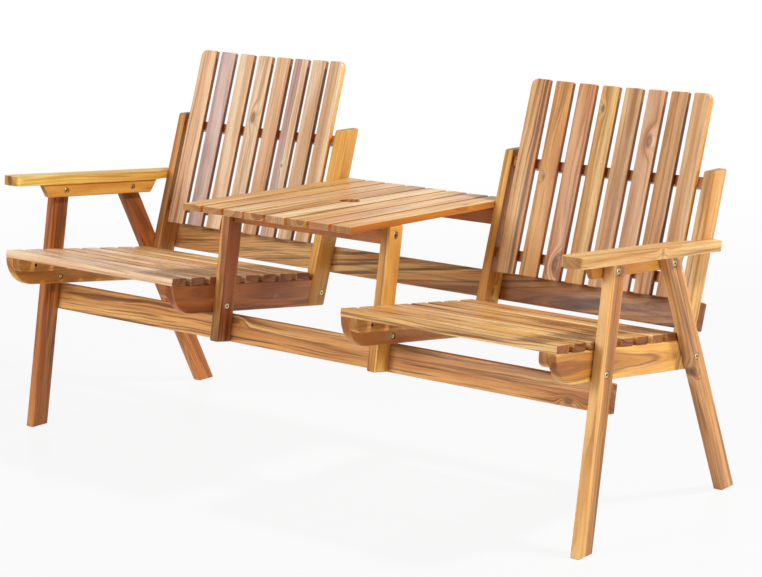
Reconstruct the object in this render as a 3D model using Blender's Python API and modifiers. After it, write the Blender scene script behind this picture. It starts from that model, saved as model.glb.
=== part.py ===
"""Garden bench with table: two slatted armchairs joined by a slatted table between them.

The bench is bolted together from acacia boards. The slats of a seat, the battens under them and the
rail behind them are pinned and glued into one seat panel, and the table slats and their two bearers
into one table top. Every other board, slat and bolt is its own solid.
X runs across the bench, Y runs from the front to the back and +Z is up. Side outlines are drawn
from a datum where the front edges of the front legs meet the floor, and the finished bench is
moved so that its origin lies on the floor under the middle of its box.
"""
import math
from typing import NamedTuple

import bmesh
import bpy
from mathutils import Matrix, Vector

MM = 0.001

# Fits and edges
FIT = 0.3 * MM  # gap between boards that touch
EASE = 2.0 * MM  # eased edges of every board
OVERRUN = 6.0 * MM  # how far a cutter runs past the face it opens
GLUE_OVERLAP = 1.0 * MM  # how far boards that are glued into one panel run into each other
MERGE = 0.01 * MM  # points closer than this are one point

# Widths across the bench, from the middle outwards
TABLE_BAY = 464.0 * MM  # clear width between the inner stiles
SEAT_BAY = 480.0 * MM  # clear width between the stiles of one chair
RAIL_THICKNESS = 21.0 * MM  # side rails and stiles
LEG_THICKNESS = 22.0 * MM  # legs and table posts

# Front legs and table posts, which lean back together
FRONT_LEG_LEAN = math.radians(8.75)
FRONT_LEG_WIDTH = 50.0 * MM
POST_WIDTH = 45.0 * MM
STRETCHER_BOTTOM = 277.5 * MM
STRETCHER_HEIGHT = 62.0 * MM
STRETCHER_THICKNESS = 22.0 * MM

# Rear legs, which lean forward
REAR_LEG_LEAN = math.radians(28.0)
REAR_LEG_WIDTH = 49.0 * MM

# Seat
SEAT_FALL = math.radians(6.8)
SEAT_FRONT = -75.0 * MM  # front end of the side rails, measured from the datum
SEAT_RAIL_TOP = 427.0 * MM  # top of the side rails at that end
SEAT_RAIL_HEIGHT = 63.5 * MM
SEAT_RAIL_ROUND_RISE = 8.0 * MM  # the front quarter round's centre, above the rail's top edge
SEAT_SLATS = 8
SEAT_SLAT_WIDTH = 46.0 * MM
SEAT_SLAT_PITCH = 62.3 * MM
SEAT_SLAT_THICKNESS = 17.0 * MM
BATTEN_THICKNESS = 20.0 * MM
BATTEN_HEIGHT = 30.5 * MM
BATTEN_SETBACK = 4.0 * MM
BATTEN_RADIUS = 18.0 * MM
SEAT_REAR_RAIL_THICKNESS = 22.0 * MM
SEAT_REAR_RAIL_HEIGHT = 42.0 * MM
SEAT_REAR_RAIL_RISE = 10.5 * MM  # above the cut foot of the stile
SEAT_REAR_RAIL_INSET = 4.0 * MM  # in from the rear edge of the stile

# Back
BACK_LEAN = math.radians(17.6)
BACK_LINE = 302.4 * MM  # where the front edges of the stiles, run on down, meet the floor
STILE_WIDTH = 60.0 * MM
STILE_TOP = 713.0 * MM
BACK_SLATS = 8
BACK_SLAT_GAP = 14.0 * MM
BACK_SLAT_MARGIN = 15.0 * MM  # between an outside slat and the stile
BACK_SLAT_THICKNESS = 13.5 * MM
BACK_SLAT_BOTTOM = 448.5 * MM
BACK_SLAT_TOP = 871.5 * MM
BACK_SLAT_CORNER = 15.0 * MM  # rounded outer corner of the two outside slats
BACK_CURVE = 1680.0 * MM  # radius of the hollow that the slats follow
BACK_HOLLOW = 11.7 * MM  # how far the middle of the back lies behind the stiles' front edges
CROSS_RAIL_HEIGHT = 22.0 * MM
CROSS_RAIL_DEPTH = 40.0 * MM
LOWER_CROSS_RAIL_RISE = 42.5 * MM  # its middle, above the slats' lower ends
UPPER_CROSS_RAIL_DROP = 22.0 * MM  # its middle, below the stiles' tops
TENON_LENGTH = 12.0 * MM
TENON_DEPTH = 24.0 * MM
REAR_RAIL_BOTTOM = 377.5 * MM
REAR_RAIL_HEIGHT = 62.0 * MM
REAR_RAIL_THICKNESS = 22.0 * MM
REAR_RAIL_OVERHANG = 3.0 * MM

# Table
TABLE_TOP = 607.0 * MM  # above the datum
TABLE_FALL = math.radians(0.95)
TABLE_FRONT_OVERHANG = 146.0 * MM  # past the front bearer
TABLE_REAR_OVERHANG = 30.0 * MM  # past the rear bearer
TABLE_SLATS = 8
TABLE_SLAT_WIDTH = 51.0 * MM
TABLE_SLAT_PITCH = 58.6 * MM
TABLE_SLAT_THICKNESS = 15.0 * MM
BEARER_THICKNESS = 22.0 * MM
BEARER_HEIGHT = 42.0 * MM
PARASOL_HOLE_RADIUS = 24.0 * MM
PARASOL_HOLE_STEPS = 10

# Arms
ARM_FALL = math.radians(4.3)
ARM_UNDERSIDE = 588.0 * MM  # above the datum
ARM_THICKNESS = 22.0 * MM
ARM_WIDTH = 54.5 * MM
ARM_OVERHANG = 13.5 * MM  # past the outer face of the legs
ARM_FRONT = -50.0 * MM
ARM_REAR = 531.0 * MM
ARM_FRONT_CORNER = 18.0 * MM
ARM_REAR_CORNER = 24.0 * MM
ARM_TAPER = 50.0 * MM  # run of the slant that takes the arm past the stile
ARM_SUPPORT_THICKNESS = 15.0 * MM
ARM_SUPPORT_HEIGHT = 30.5 * MM
ARM_SUPPORT_FRONT = 36.0 * MM
ARM_SUPPORT_REAR = 428.0 * MM
ARM_SUPPORT_SLANT = 21.0 * MM

# Bolts with sleeve nuts or barrel nuts
BOLT_SIDES = 10
BOLT_RADIUS = 3.0 * MM
BOLT_HEAD_RADIUS = 7.0 * MM
BOLT_HEAD_HEIGHT = 3.0 * MM
BOLT_HEAD_SINK = 0.5 * MM
BOLT_HEAD_ROOM = 1.0 * MM  # between the head's rim and its counterbore
SOCKET_RADIUS = 2.4 * MM
SOCKET_DEPTH = 2.0 * MM
SOCKET_SIDES = 6
SLEEVE_RADIUS = 4.6 * MM
SLEEVE_LENGTH = 18.0 * MM
SLEEVE_END = 3.0 * MM
BARREL_NUT_RADIUS = 5.0 * MM
BARREL_NUT_LENGTH = 15.0 * MM
BARREL_NUT_INSET = 30.0 * MM
BOLT_PAST_NUT = 8.0 * MM

ARC_STEPS = 6
UP = Vector((0, 0, 1))

# Base colours of the boards, from pale sapwood to dark heartwood, and of the plated steel
WOOD_TONES = (
    (0.50, 0.27, 0.12),
    (0.36, 0.17, 0.08),
    (0.58, 0.34, 0.15),
    (0.28, 0.12, 0.06),
    (0.44, 0.22, 0.11),
    (0.53, 0.29, 0.10),
)
WOOD_ROUGHNESS = 0.45
BOLT_COLOUR = (0.62, 0.55, 0.32)
STEEL_ROUGHNESS = 0.35


class Line(NamedTuple):
    """A straight line in the side view: a point and a unit direction, as (y, z) pairs."""

    y: float
    z: float
    dy: float
    dz: float

    def point(self, distance):
        """The point at a distance along the line."""
        return (self.y + self.dy * distance, self.z + self.dz * distance)

    def moved(self, distance):
        """The parallel line that lies behind an upright line, or below a lying one."""
        return Line(self.y + self.dz * distance, self.z - self.dy * distance, self.dy, self.dz)

    def square(self, distance):
        """The line square to this one, through its point at a distance."""
        y, z = self.point(distance)
        return Line(y, z, self.dz, -self.dy)

    def meet(self, other):
        """The point where this line crosses another."""
        cross = self.dy * other.dz - self.dz * other.dy
        distance = ((other.y - self.y) * other.dz - (other.z - self.z) * other.dy) / cross
        return self.point(distance)

    def at_height(self, height):
        """The distance along an upright line to the point at a height."""
        return (height - self.z) / self.dz

    def at_depth(self, depth):
        """The distance along a lying line to the point at a depth."""
        return (depth - self.y) / self.dy


def upright(y, z, lean):
    """A line that rises from a point and leans back by an angle."""
    return Line(y, z, math.sin(lean), math.cos(lean))


def lying(y, z, fall):
    """A line that runs back from a point and falls by an angle."""
    return Line(y, z, math.cos(fall), -math.sin(fall))


# Places across the bench
INNER_STILE = TABLE_BAY / 2
SEAT_INSIDE = INNER_STILE + RAIL_THICKNESS
SEAT_OUTSIDE = SEAT_INSIDE + SEAT_BAY
OUTER_STILE = SEAT_OUTSIDE + RAIL_THICKNESS
LEG_INSIDE = OUTER_STILE + FIT
LEG_OUTSIDE = LEG_INSIDE + LEG_THICKNESS
POST_OUTSIDE = INNER_STILE - FIT
POST_INSIDE = POST_OUTSIDE - LEG_THICKNESS
CHAIR_CENTRE = (SEAT_INSIDE + SEAT_OUTSIDE) / 2

BACK_SLAT_WIDTH = (SEAT_BAY - BACK_SLAT_MARGIN * 2 - BACK_SLAT_GAP * (BACK_SLATS - 1)) / BACK_SLATS
BACK_SLAT_PITCH = BACK_SLAT_WIDTH + BACK_SLAT_GAP

# Lines of the side view
FLOOR = lying(0, 0, 0)
LEG_FRONT_LINE = upright(0, 0, FRONT_LEG_LEAN)
LEG_REAR_LINE = LEG_FRONT_LINE.moved(FRONT_LEG_WIDTH)
LEG_MIDDLE = LEG_FRONT_LINE.moved(FRONT_LEG_WIDTH / 2)
POST_FRONT_LINE = LEG_REAR_LINE.moved(-POST_WIDTH)
POST_MIDDLE = LEG_REAR_LINE.moved(-POST_WIDTH / 2)
SEAT_LINE = lying(SEAT_FRONT, SEAT_RAIL_TOP, SEAT_FALL)
SEAT_RAIL_UNDERSIDE = SEAT_LINE.moved(SEAT_RAIL_HEIGHT)
SEAT_RAIL_RADIUS = SEAT_RAIL_HEIGHT + SEAT_RAIL_ROUND_RISE
SEAT_RAIL_ROUND = SEAT_LINE.moved(-SEAT_RAIL_ROUND_RISE)  # the quarter round's centre is on it
SEAT_RAIL_CENTRE = SEAT_RAIL_ROUND.point(SEAT_RAIL_ROUND.at_depth(SEAT_FRONT + SEAT_RAIL_RADIUS))
STILE_FRONT_LINE = upright(BACK_LINE, 0, BACK_LEAN)
STILE_REAR_LINE = STILE_FRONT_LINE.moved(STILE_WIDTH)
ARM_LINE = lying(0, ARM_UNDERSIDE, ARM_FALL)
TABLE_LINE = lying(0, TABLE_TOP, TABLE_FALL)
TABLE_UNDERSIDE = TABLE_LINE.moved(TABLE_SLAT_THICKNESS)
BEARER_LINE = TABLE_UNDERSIDE.moved(BEARER_HEIGHT / 2 - GLUE_OVERLAP)
FRONT_BEARER_PLACE = POST_MIDDLE.meet(BEARER_LINE)
REAR_BEARER_PLACE = STILE_FRONT_LINE.moved(STILE_WIDTH / 2).meet(BEARER_LINE)
TABLE_FRONT = TABLE_LINE.at_depth(FRONT_BEARER_PLACE[0] - BEARER_THICKNESS / 2 - TABLE_FRONT_OVERHANG)
TABLE_REAR = TABLE_LINE.at_depth(REAR_BEARER_PLACE[0] + BEARER_THICKNESS / 2 + TABLE_REAR_OVERHANG)
TABLE_LENGTH = TABLE_REAR - TABLE_FRONT

# The rail behind the seat, whose bolts also hold the rear legs
REAR_RAIL_LINE = STILE_REAR_LINE.moved(-SEAT_REAR_RAIL_INSET - SEAT_REAR_RAIL_THICKNESS / 2)
SEAT_REAR_RAIL_FOOT = REAR_RAIL_LINE.at_height(REAR_RAIL_LINE.meet(SEAT_RAIL_UNDERSIDE)[1])
SEAT_REAR_RAIL_PLACE = REAR_RAIL_LINE.point(
    SEAT_REAR_RAIL_FOOT + SEAT_REAR_RAIL_RISE + SEAT_REAR_RAIL_HEIGHT / 2
)
REAR_LEG_MIDDLE = upright(*SEAT_REAR_RAIL_PLACE, -REAR_LEG_LEAN)
REAR_LEG_FRONT_LINE = REAR_LEG_MIDDLE.moved(-REAR_LEG_WIDTH / 2)
REAR_LEG_REAR_LINE = REAR_LEG_MIDDLE.moved(REAR_LEG_WIDTH / 2)

DEPTH_CENTRE = (SEAT_FRONT + REAR_LEG_REAR_LINE.meet(FLOOR)[0]) / 2

SIDES = (("left", -1), ("right", 1))

parts = bpy.data.collections.new("garden_bench_with_table")
cutters = bpy.data.collections.new("cutters")
holes = {}


def clear_scene():
    """Empty the scene and add the two collections."""
    for obj in list(bpy.data.objects):
        bpy.data.objects.remove(obj, do_unlink=True)
    bpy.context.scene.collection.children.link(parts)
    bpy.context.scene.collection.children.link(cutters)


def paint(obj, colour, roughness, metallic=0.0):
    """Give an object its own material."""
    material = bpy.data.materials.new(obj.name)
    material.use_nodes = True
    shader = material.node_tree.nodes["Principled BSDF"]
    shader.inputs["Base Color"].default_value = (*colour, 1)
    shader.inputs["Roughness"].default_value = roughness
    shader.inputs["Metallic"].default_value = metallic
    obj.data.materials.clear()
    obj.data.materials.append(material)


def add_part(name, mesh, parent):
    """Put a mesh in the scene as a named board of the bench."""
    obj = bpy.data.objects.new(name, mesh)
    parts.objects.link(obj)
    obj.parent = parent
    paint(obj, WOOD_TONES[len(parts.objects) % len(WOOD_TONES)], WOOD_ROUGHNESS)
    return obj


def ease_edges(obj):
    """Ease the sharp edges of a board."""
    bevel = obj.modifiers.new("Eased edges", "BEVEL")
    bevel.width = EASE
    bevel.segments = 1
    bevel.limit_method = "ANGLE"
    bevel.angle_limit = math.radians(35)


def evaluated_mesh(obj):
    """The object's mesh with its modifiers, as new mesh data in its own coordinates."""
    bpy.context.view_layer.update()
    depsgraph = bpy.context.evaluated_depsgraph_get()
    return bpy.data.meshes.new_from_object(obj.evaluated_get(depsgraph))


def tidy_mesh(mesh):
    """Merge doubled points and turn every face outwards."""
    work = bmesh.new()
    work.from_mesh(mesh)
    bmesh.ops.remove_doubles(work, verts=work.verts, dist=MERGE)
    bmesh.ops.recalc_face_normals(work, faces=work.faces)
    work.to_mesh(mesh)
    work.free()
    return mesh


def combine(first, others, operation):
    """The mesh of one object joined with others or cut by them; all the objects are removed."""
    for other in others:
        step = first.modifiers.new(operation.title(), "BOOLEAN")
        step.operation = operation
        step.solver = "EXACT"
        step.object = other
    result = evaluated_mesh(first)
    for obj in (first, *others):
        bpy.data.objects.remove(obj, do_unlink=True)
    return result


def loose(mesh):
    """A mesh as an unplaced object, for a Boolean."""
    obj = bpy.data.objects.new(mesh.name, mesh)
    bpy.context.scene.collection.objects.link(obj)
    return obj


def box_mesh(name, size):
    """A box of a size, centred on its origin."""
    work = bmesh.new()
    bmesh.ops.create_cube(work, size=1, matrix=Matrix.Diagonal((*size, 1)))
    mesh = bpy.data.meshes.new(name)
    work.to_mesh(mesh)
    work.free()
    return mesh


def flat_mesh(name, outline, thickness):
    """A board cut to an outline in its local XY plane, its thickness centred on that plane."""
    curve = bpy.data.curves.new(name, "CURVE")
    curve.dimensions = "2D"
    curve.fill_mode = "BOTH"
    curve.extrude = thickness / 2
    spline = curve.splines.new("POLY")
    spline.points.add(len(outline) - 1)
    for point, place in zip(spline.points, outline):
        point.co = (*place, 0, 1)
    spline.use_cyclic_u = True
    drawn = bpy.data.objects.new(name, curve)
    bpy.context.scene.collection.objects.link(drawn)
    mesh = evaluated_mesh(drawn)
    bpy.data.objects.remove(drawn, do_unlink=True)
    bpy.data.curves.remove(curve)
    mesh.name = name
    return tidy_mesh(mesh)


def turned_mesh(name, profile, sides):
    """A solid turned about Z from a profile of (radius, height) points, axis to axis."""
    mesh = bpy.data.meshes.new(name)
    ends = range(len(profile) - 1)
    mesh.from_pydata([(radius, 0, height) for radius, height in profile], [(i, i + 1) for i in ends], [])
    turned = bpy.data.objects.new(name, mesh)
    bpy.context.scene.collection.objects.link(turned)
    screw = turned.modifiers.new("Turn", "SCREW")
    screw.axis = "Z"
    screw.steps = screw.render_steps = sides
    screw.use_merge_vertices = True
    screw.merge_threshold = MERGE
    result = evaluated_mesh(turned)
    bpy.data.objects.remove(turned, do_unlink=True)
    bpy.data.meshes.remove(mesh)
    return tidy_mesh(result)


def arc(centre, radius, start, end, steps=ARC_STEPS):
    """Points on an arc of the outline's plane, both ends included; angles in degrees."""
    angles = [math.radians(start + (end - start) * i / steps) for i in range(steps + 1)]
    return [(centre[0] + radius * math.cos(a), centre[1] + radius * math.sin(a)) for a in angles]


def frame_empty(name, location, rotation, parent):
    """An empty that carries a sub-assembly."""
    empty = bpy.data.objects.new(name, None)
    parts.objects.link(empty)
    empty.location = location
    empty.rotation_euler = rotation
    empty.parent = parent
    return empty


def side_board(name, outline, thickness, x, bench, eased=True):
    """A board cut to an outline of the side view, its thickness centred at x."""
    obj = add_part(name, flat_mesh(name, outline, thickness), bench)
    obj.rotation_euler = (math.radians(90), 0, math.radians(90))
    obj.location = (x, 0, 0)
    if eased:
        ease_edges(obj)
    return obj


def bar(name, size, location, tilt, parent, eased=True):
    """A straight board of a size, tilted about X."""
    obj = add_part(name, box_mesh(name, size), parent)
    obj.location = location
    obj.rotation_euler = (tilt, 0, 0)
    if eased:
        ease_edges(obj)
    return obj


def glued_panel(name, boards, bench):
    """Join finished boards that run into each other as one panel."""
    bpy.context.view_layer.update()
    pieces = []
    for board in boards:
        mesh = evaluated_mesh(board)
        mesh.transform(bench.matrix_world.inverted() @ board.matrix_world)
        pieces.append(loose(mesh))
    for board in boards:
        bpy.data.objects.remove(board, do_unlink=True)
    return add_part(name, combine(pieces[0], pieces[1:], "UNION"), bench)


def aim(mesh, start, direction):
    """A copy of a mesh with its origin at a point and its +Z along a direction."""
    copy = mesh.copy()
    turn = UP.rotation_difference(direction.normalized()).to_matrix().to_4x4()
    copy.transform(Matrix.Translation(start) @ turn)
    return copy


def open_hole(cutter, names):
    """Keep a shape, to be cut out of each named board."""
    for name in names:
        holes.setdefault(name, []).append(cutter)


def add_bolt(name, mesh, bench):
    """Put a bolt in the scene as a part of the bench."""
    paint(add_part(name, mesh, bench), BOLT_COLOUR, STEEL_ROUGHNESS, 1.0)


def socket_at(face, inwards):
    """The hexagon socket in a head's face, which lies at a height along +Z."""
    work = bmesh.new()
    depth = SOCKET_DEPTH + OVERRUN
    bmesh.ops.create_cone(
        work,
        cap_ends=True,
        segments=SOCKET_SIDES,
        radius1=SOCKET_RADIUS,
        radius2=SOCKET_RADIUS,
        depth=depth,
        matrix=Matrix.Translation((0, 0, face + inwards * (SOCKET_DEPTH - depth / 2))),
    )
    mesh = bpy.data.meshes.new("socket")
    work.to_mesh(mesh)
    work.free()
    return loose(mesh)


def through_bolt(name, place, start_x, end_x, boards, bench):
    """Bolt boards together across the bench, from a head at start_x to a sleeve nut at end_x.

    The nut is drawn tight on the bolt, and both are one solid with a socket at each end.
    """
    inwards = Vector((math.copysign(1, end_x - start_x), 0, 0))
    start = Vector((start_x, *place))
    stack = abs(end_x - start_x)
    under_head = BOLT_HEAD_SINK + BOLT_HEAD_HEIGHT
    pocket = under_head + FIT
    room = BOLT_HEAD_RADIUS + BOLT_HEAD_ROOM
    sleeve_start = stack - under_head - SLEEVE_LENGTH
    profile = [
        (0, -OVERRUN),
        (room, -OVERRUN),
        (room, pocket),
        (BOLT_RADIUS + FIT, pocket),
        (BOLT_RADIUS + FIT, sleeve_start - FIT),
        (SLEEVE_RADIUS + FIT, sleeve_start - FIT),
        (SLEEVE_RADIUS + FIT, stack - pocket),
        (room, stack - pocket),
        (room, stack + OVERRUN),
        (0, stack + OVERRUN),
    ]
    open_hole(aim(turned_mesh("bolt_hole", profile, BOLT_SIDES), start, inwards), boards)
    profile = [
        (0, BOLT_HEAD_SINK),
        (BOLT_HEAD_RADIUS, BOLT_HEAD_SINK),
        (BOLT_HEAD_RADIUS, under_head),
        (BOLT_RADIUS, under_head),
        (BOLT_RADIUS, sleeve_start),
        (SLEEVE_RADIUS, sleeve_start),
        (SLEEVE_RADIUS, stack - under_head),
        (BOLT_HEAD_RADIUS, stack - under_head),
        (BOLT_HEAD_RADIUS, stack - BOLT_HEAD_SINK),
        (0, stack - BOLT_HEAD_SINK),
    ]
    shaft = loose(turned_mesh(name, profile, BOLT_SIDES))
    sockets = [socket_at(BOLT_HEAD_SINK, 1), socket_at(stack - BOLT_HEAD_SINK, -1)]
    add_bolt(name, aim(combine(shaft, sockets, "DIFFERENCE"), start, inwards), bench)


def barrel_nut_bolt(name, place, start_x, rail_end_x, rail, boards, nut_axis, nut_room, bench):
    """Bolt boards to the end of a rail, in which a barrel nut crosses the bolt.

    nut_axis points out of the rail's face that the nut's bore opens in, and nut_room is the rail's
    thickness along that axis. The nut is drawn tight on the bolt, and both are one solid.
    """
    inwards = Vector((math.copysign(1, rail_end_x - start_x), 0, 0))
    start = Vector((start_x, *place))
    under_head = BOLT_HEAD_SINK + BOLT_HEAD_HEIGHT
    pocket = under_head + FIT
    room = BOLT_HEAD_RADIUS + BOLT_HEAD_ROOM
    nut_place = abs(rail_end_x - start_x) + BARREL_NUT_INSET
    tip = nut_place + BOLT_PAST_NUT
    profile = [
        (0, -OVERRUN),
        (room, -OVERRUN),
        (room, pocket),
        (BOLT_RADIUS + FIT, pocket),
        (BOLT_RADIUS + FIT, tip + FIT),
        (0, tip + FIT),
    ]
    hole = aim(turned_mesh("bolt_hole", profile, BOLT_SIDES), start, inwards)
    open_hole(hole, [*boards, rail])
    centre = start + inwards * nut_place
    bore_radius = BARREL_NUT_RADIUS + FIT
    bore_end = BARREL_NUT_LENGTH / 2 + FIT
    bore = [
        (0, nut_room / 2 + OVERRUN),
        (bore_radius, nut_room / 2 + OVERRUN),
        (bore_radius, -bore_end),
        (0, -bore_end),
    ]
    open_hole(aim(turned_mesh("nut_bore", bore, BOLT_SIDES), centre, nut_axis), [rail])
    profile = [
        (0, BOLT_HEAD_SINK),
        (BOLT_HEAD_RADIUS, BOLT_HEAD_SINK),
        (BOLT_HEAD_RADIUS, under_head),
        (BOLT_RADIUS, under_head),
        (BOLT_RADIUS, tip),
        (0, tip),
    ]
    shaft = loose(turned_mesh(name, profile, BOLT_SIDES))
    shaft = loose(aim(combine(shaft, [socket_at(BOLT_HEAD_SINK, 1)], "DIFFERENCE"), start, inwards))
    nut = [
        (0, BARREL_NUT_LENGTH / 2),
        (BARREL_NUT_RADIUS, BARREL_NUT_LENGTH / 2),
        (BARREL_NUT_RADIUS, -BARREL_NUT_LENGTH / 2),
        (0, -BARREL_NUT_LENGTH / 2),
    ]
    barrel = loose(aim(turned_mesh("nut", nut, BOLT_SIDES), centre, nut_axis))
    add_bolt(name, combine(shaft, [barrel], "UNION"), bench)


def way(line, sign=1.0):
    """The direction of a side view line as a vector."""
    return Vector((0, line.dy, line.dz)) * sign


def make_legs(bench):
    """Front legs, rear legs and table posts."""
    under_arm = ARM_LINE.moved(FIT)
    under_table = TABLE_UNDERSIDE.moved(FIT)
    foot = LEG_REAR_LINE.square(LEG_REAR_LINE.at_height(STRETCHER_BOTTOM))
    outlines = (
        ("front_leg", LEG_FRONT_LINE, LEG_REAR_LINE, FLOOR, under_arm, LEG_INSIDE, LEG_OUTSIDE),
        ("rear_leg", REAR_LEG_FRONT_LINE, REAR_LEG_REAR_LINE, FLOOR, under_arm, LEG_INSIDE, LEG_OUTSIDE),
        ("table_post", POST_FRONT_LINE, LEG_REAR_LINE, foot, under_table, POST_INSIDE, POST_OUTSIDE),
    )
    for kind, front, rear, bottom, top, inside, outside in outlines:
        outline = [front.meet(bottom), rear.meet(bottom), rear.meet(top), front.meet(top)]
        for side, sign in SIDES:
            side_board(f"{kind}_{side}", outline, outside - inside, sign * (inside + outside) / 2, bench)


def make_side_frames(bench):
    """Stiles and seat side rails, which lie in one plane and meet along the stile's front edge."""
    joint = STILE_FRONT_LINE.moved(-FIT)
    top = lying(0, STILE_TOP, 0)
    stile = [
        STILE_FRONT_LINE.meet(SEAT_RAIL_UNDERSIDE),
        STILE_REAR_LINE.meet(SEAT_RAIL_UNDERSIDE),
        STILE_REAR_LINE.meet(top),
        STILE_FRONT_LINE.meet(top),
    ]
    start = 180 - math.degrees(SEAT_FALL - math.asin(SEAT_RAIL_ROUND_RISE / SEAT_RAIL_RADIUS))
    end = 270 - math.degrees(SEAT_FALL)
    rail = [
        *arc(SEAT_RAIL_CENTRE, SEAT_RAIL_RADIUS, start, end),
        SEAT_RAIL_UNDERSIDE.meet(joint),
        SEAT_LINE.meet(joint),
    ]
    places = (("outer", (SEAT_OUTSIDE + OUTER_STILE) / 2), ("inner", (INNER_STILE + SEAT_INSIDE) / 2))
    for side, sign in SIDES:
        for place, x in places:
            side_board(f"back_stile_{side}_{place}", stile, RAIL_THICKNESS, sign * x, bench)
            side_board(f"seat_side_rail_{side}_{place}", rail, RAIL_THICKNESS, sign * x, bench)


def make_seat_panel(side, sign, bench):
    """Seat slats, the two battens under them and the rail behind them, glued into one panel."""
    length = SEAT_BAY + RAIL_THICKNESS + RAIL_THICKNESS
    size = (length, SEAT_SLAT_WIDTH, SEAT_SLAT_THICKNESS)
    middle = SEAT_LINE.moved(-FIT - SEAT_SLAT_THICKNESS / 2)
    size_behind = (SEAT_BAY - FIT * 4, SEAT_REAR_RAIL_THICKNESS, SEAT_REAR_RAIL_HEIGHT)
    place_behind = (sign * CHAIR_CENTRE, *SEAT_REAR_RAIL_PLACE)
    boards = [bar("rail_behind", size_behind, place_behind, -BACK_LEAN, bench, eased=False)]

    fall = math.degrees(SEAT_FALL)
    batten_top = SEAT_LINE.moved(-FIT - GLUE_OVERLAP)
    batten_bottom = SEAT_LINE.moved(BATTEN_HEIGHT)
    nose = batten_bottom.moved(-BATTEN_RADIUS).point(BATTEN_SETBACK + BATTEN_RADIUS)
    outline = [
        batten_top.point(BATTEN_SETBACK),
        *arc(nose, BATTEN_RADIUS, 180 - fall, 270 - fall),
        batten_bottom.meet(REAR_RAIL_LINE),
        batten_top.meet(REAR_RAIL_LINE),
    ]
    for inside, outwards in ((SEAT_INSIDE, 1), (SEAT_OUTSIDE, -1)):
        x = inside + outwards * (FIT + BATTEN_THICKNESS / 2)
        board = side_board(f"batten_{x}", outline, BATTEN_THICKNESS, sign * x, bench, eased=False)
        boards.append(board)
    for i in range(SEAT_SLATS):
        place = middle.point(i * SEAT_SLAT_PITCH + SEAT_SLAT_WIDTH / 2)
        boards.append(bar(f"slat_{i}", size, (sign * CHAIR_CENTRE, *place), -SEAT_FALL, bench))
    glued_panel(f"seat_panel_{side}", boards, bench)


def back_depth(x):
    """Depth of the slats' front faces behind the stiles' front edges, at x from the middle."""
    return BACK_HOLLOW - (BACK_CURVE - math.sqrt(BACK_CURVE**2 - x**2))


def cross_rail_outline():
    """A cross rail seen along the stiles: a hollow front, a straight rear and a tenon at each end."""
    half = SEAT_BAY / 2 - FIT
    behind_slats = BACK_SLAT_THICKNESS + FIT
    end_depth = back_depth(half) + behind_slats
    rear = end_depth + CROSS_RAIL_DEPTH
    tenon_front = (end_depth + rear - TENON_DEPTH) / 2
    tenon_rear = tenon_front + TENON_DEPTH
    tip = half + TENON_LENGTH
    steps = BACK_SLATS + BACK_SLATS
    stations = [half * (i + i - steps) / steps for i in range(steps + 1)]
    hollow = [(x, back_depth(x) + behind_slats) for x in stations]
    right = [(half, tenon_front), (tip, tenon_front), (tip, tenon_rear), (half, tenon_rear), (half, rear)]
    left = [(-x, y) for x, y in reversed(right)]
    return hollow + right + left


def make_back(side, sign, bench):
    """Cross rails and back slats, in the plane of the stiles."""
    base = frame_empty(
        f"back_{side}",
        (sign * CHAIR_CENTRE, STILE_FRONT_LINE.y, STILE_FRONT_LINE.z),
        (-BACK_LEAN, 0, 0),
        bench,
    )
    outline = cross_rail_outline()
    tenon_end = SEAT_BAY / 2 + TENON_LENGTH
    end_depth = back_depth(SEAT_BAY / 2 - FIT) + BACK_SLAT_THICKNESS + FIT
    tenon_middle = end_depth + CROSS_RAIL_DEPTH / 2
    lower = BACK_SLAT_BOTTOM + LOWER_CROSS_RAIL_RISE
    upper = STILE_TOP - UPPER_CROSS_RAIL_DROP
    for level, height in (("lower", lower), ("upper", upper)):
        name = f"{level}_cross_rail_{side}"
        rail = add_part(name, flat_mesh(name, outline, CROSS_RAIL_HEIGHT), base)
        rail.location = (0, 0, STILE_FRONT_LINE.at_height(height))
        ease_edges(rail)
        size = (TENON_LENGTH + TENON_LENGTH, TENON_DEPTH + FIT + FIT, CROSS_RAIL_HEIGHT + FIT + FIT)
        bpy.context.view_layer.update()
        for place, end in (("outer", sign), ("inner", -sign)):
            mortise = box_mesh("mortise", size)
            mortise.transform(Matrix.Translation((end * (tenon_end - TENON_LENGTH), tenon_middle, 0)))
            mortise.transform(bench.matrix_world.inverted() @ base.matrix_world @ rail.matrix_local)
            open_hole(mortise, [f"back_stile_{side}_{place}"])

    bottom = STILE_FRONT_LINE.at_height(BACK_SLAT_BOTTOM)
    top = STILE_FRONT_LINE.at_height(BACK_SLAT_TOP)
    half = BACK_SLAT_WIDTH / 2
    for i in range(BACK_SLATS):
        x = (i - (BACK_SLATS - 1) / 2) * BACK_SLAT_PITCH
        name = f"back_slat_{side}_{i + 1}"
        corner = (half - BACK_SLAT_CORNER, top - bottom - BACK_SLAT_CORNER)
        rounded = [(half, 0), *arc(corner, BACK_SLAT_CORNER, 0, 90), (-half, top - bottom), (-half, 0)]
        square = [(half, 0), (half, top - bottom), (-half, top - bottom), (-half, 0)]
        outline = square
        if i == BACK_SLATS - 1:
            outline = rounded
        if i == 0:
            outline = [(-across, height) for across, height in reversed(rounded)]
        mesh = flat_mesh(name, outline, BACK_SLAT_THICKNESS)
        mesh.transform(Matrix.Rotation(math.radians(90), 4, "X"))
        slat = add_part(name, mesh, base)
        slat.location = (x, back_depth(x) + BACK_SLAT_THICKNESS / 2, bottom)
        slat.rotation_euler = (0, 0, -math.asin(x / BACK_CURVE))
        ease_edges(slat)


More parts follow.
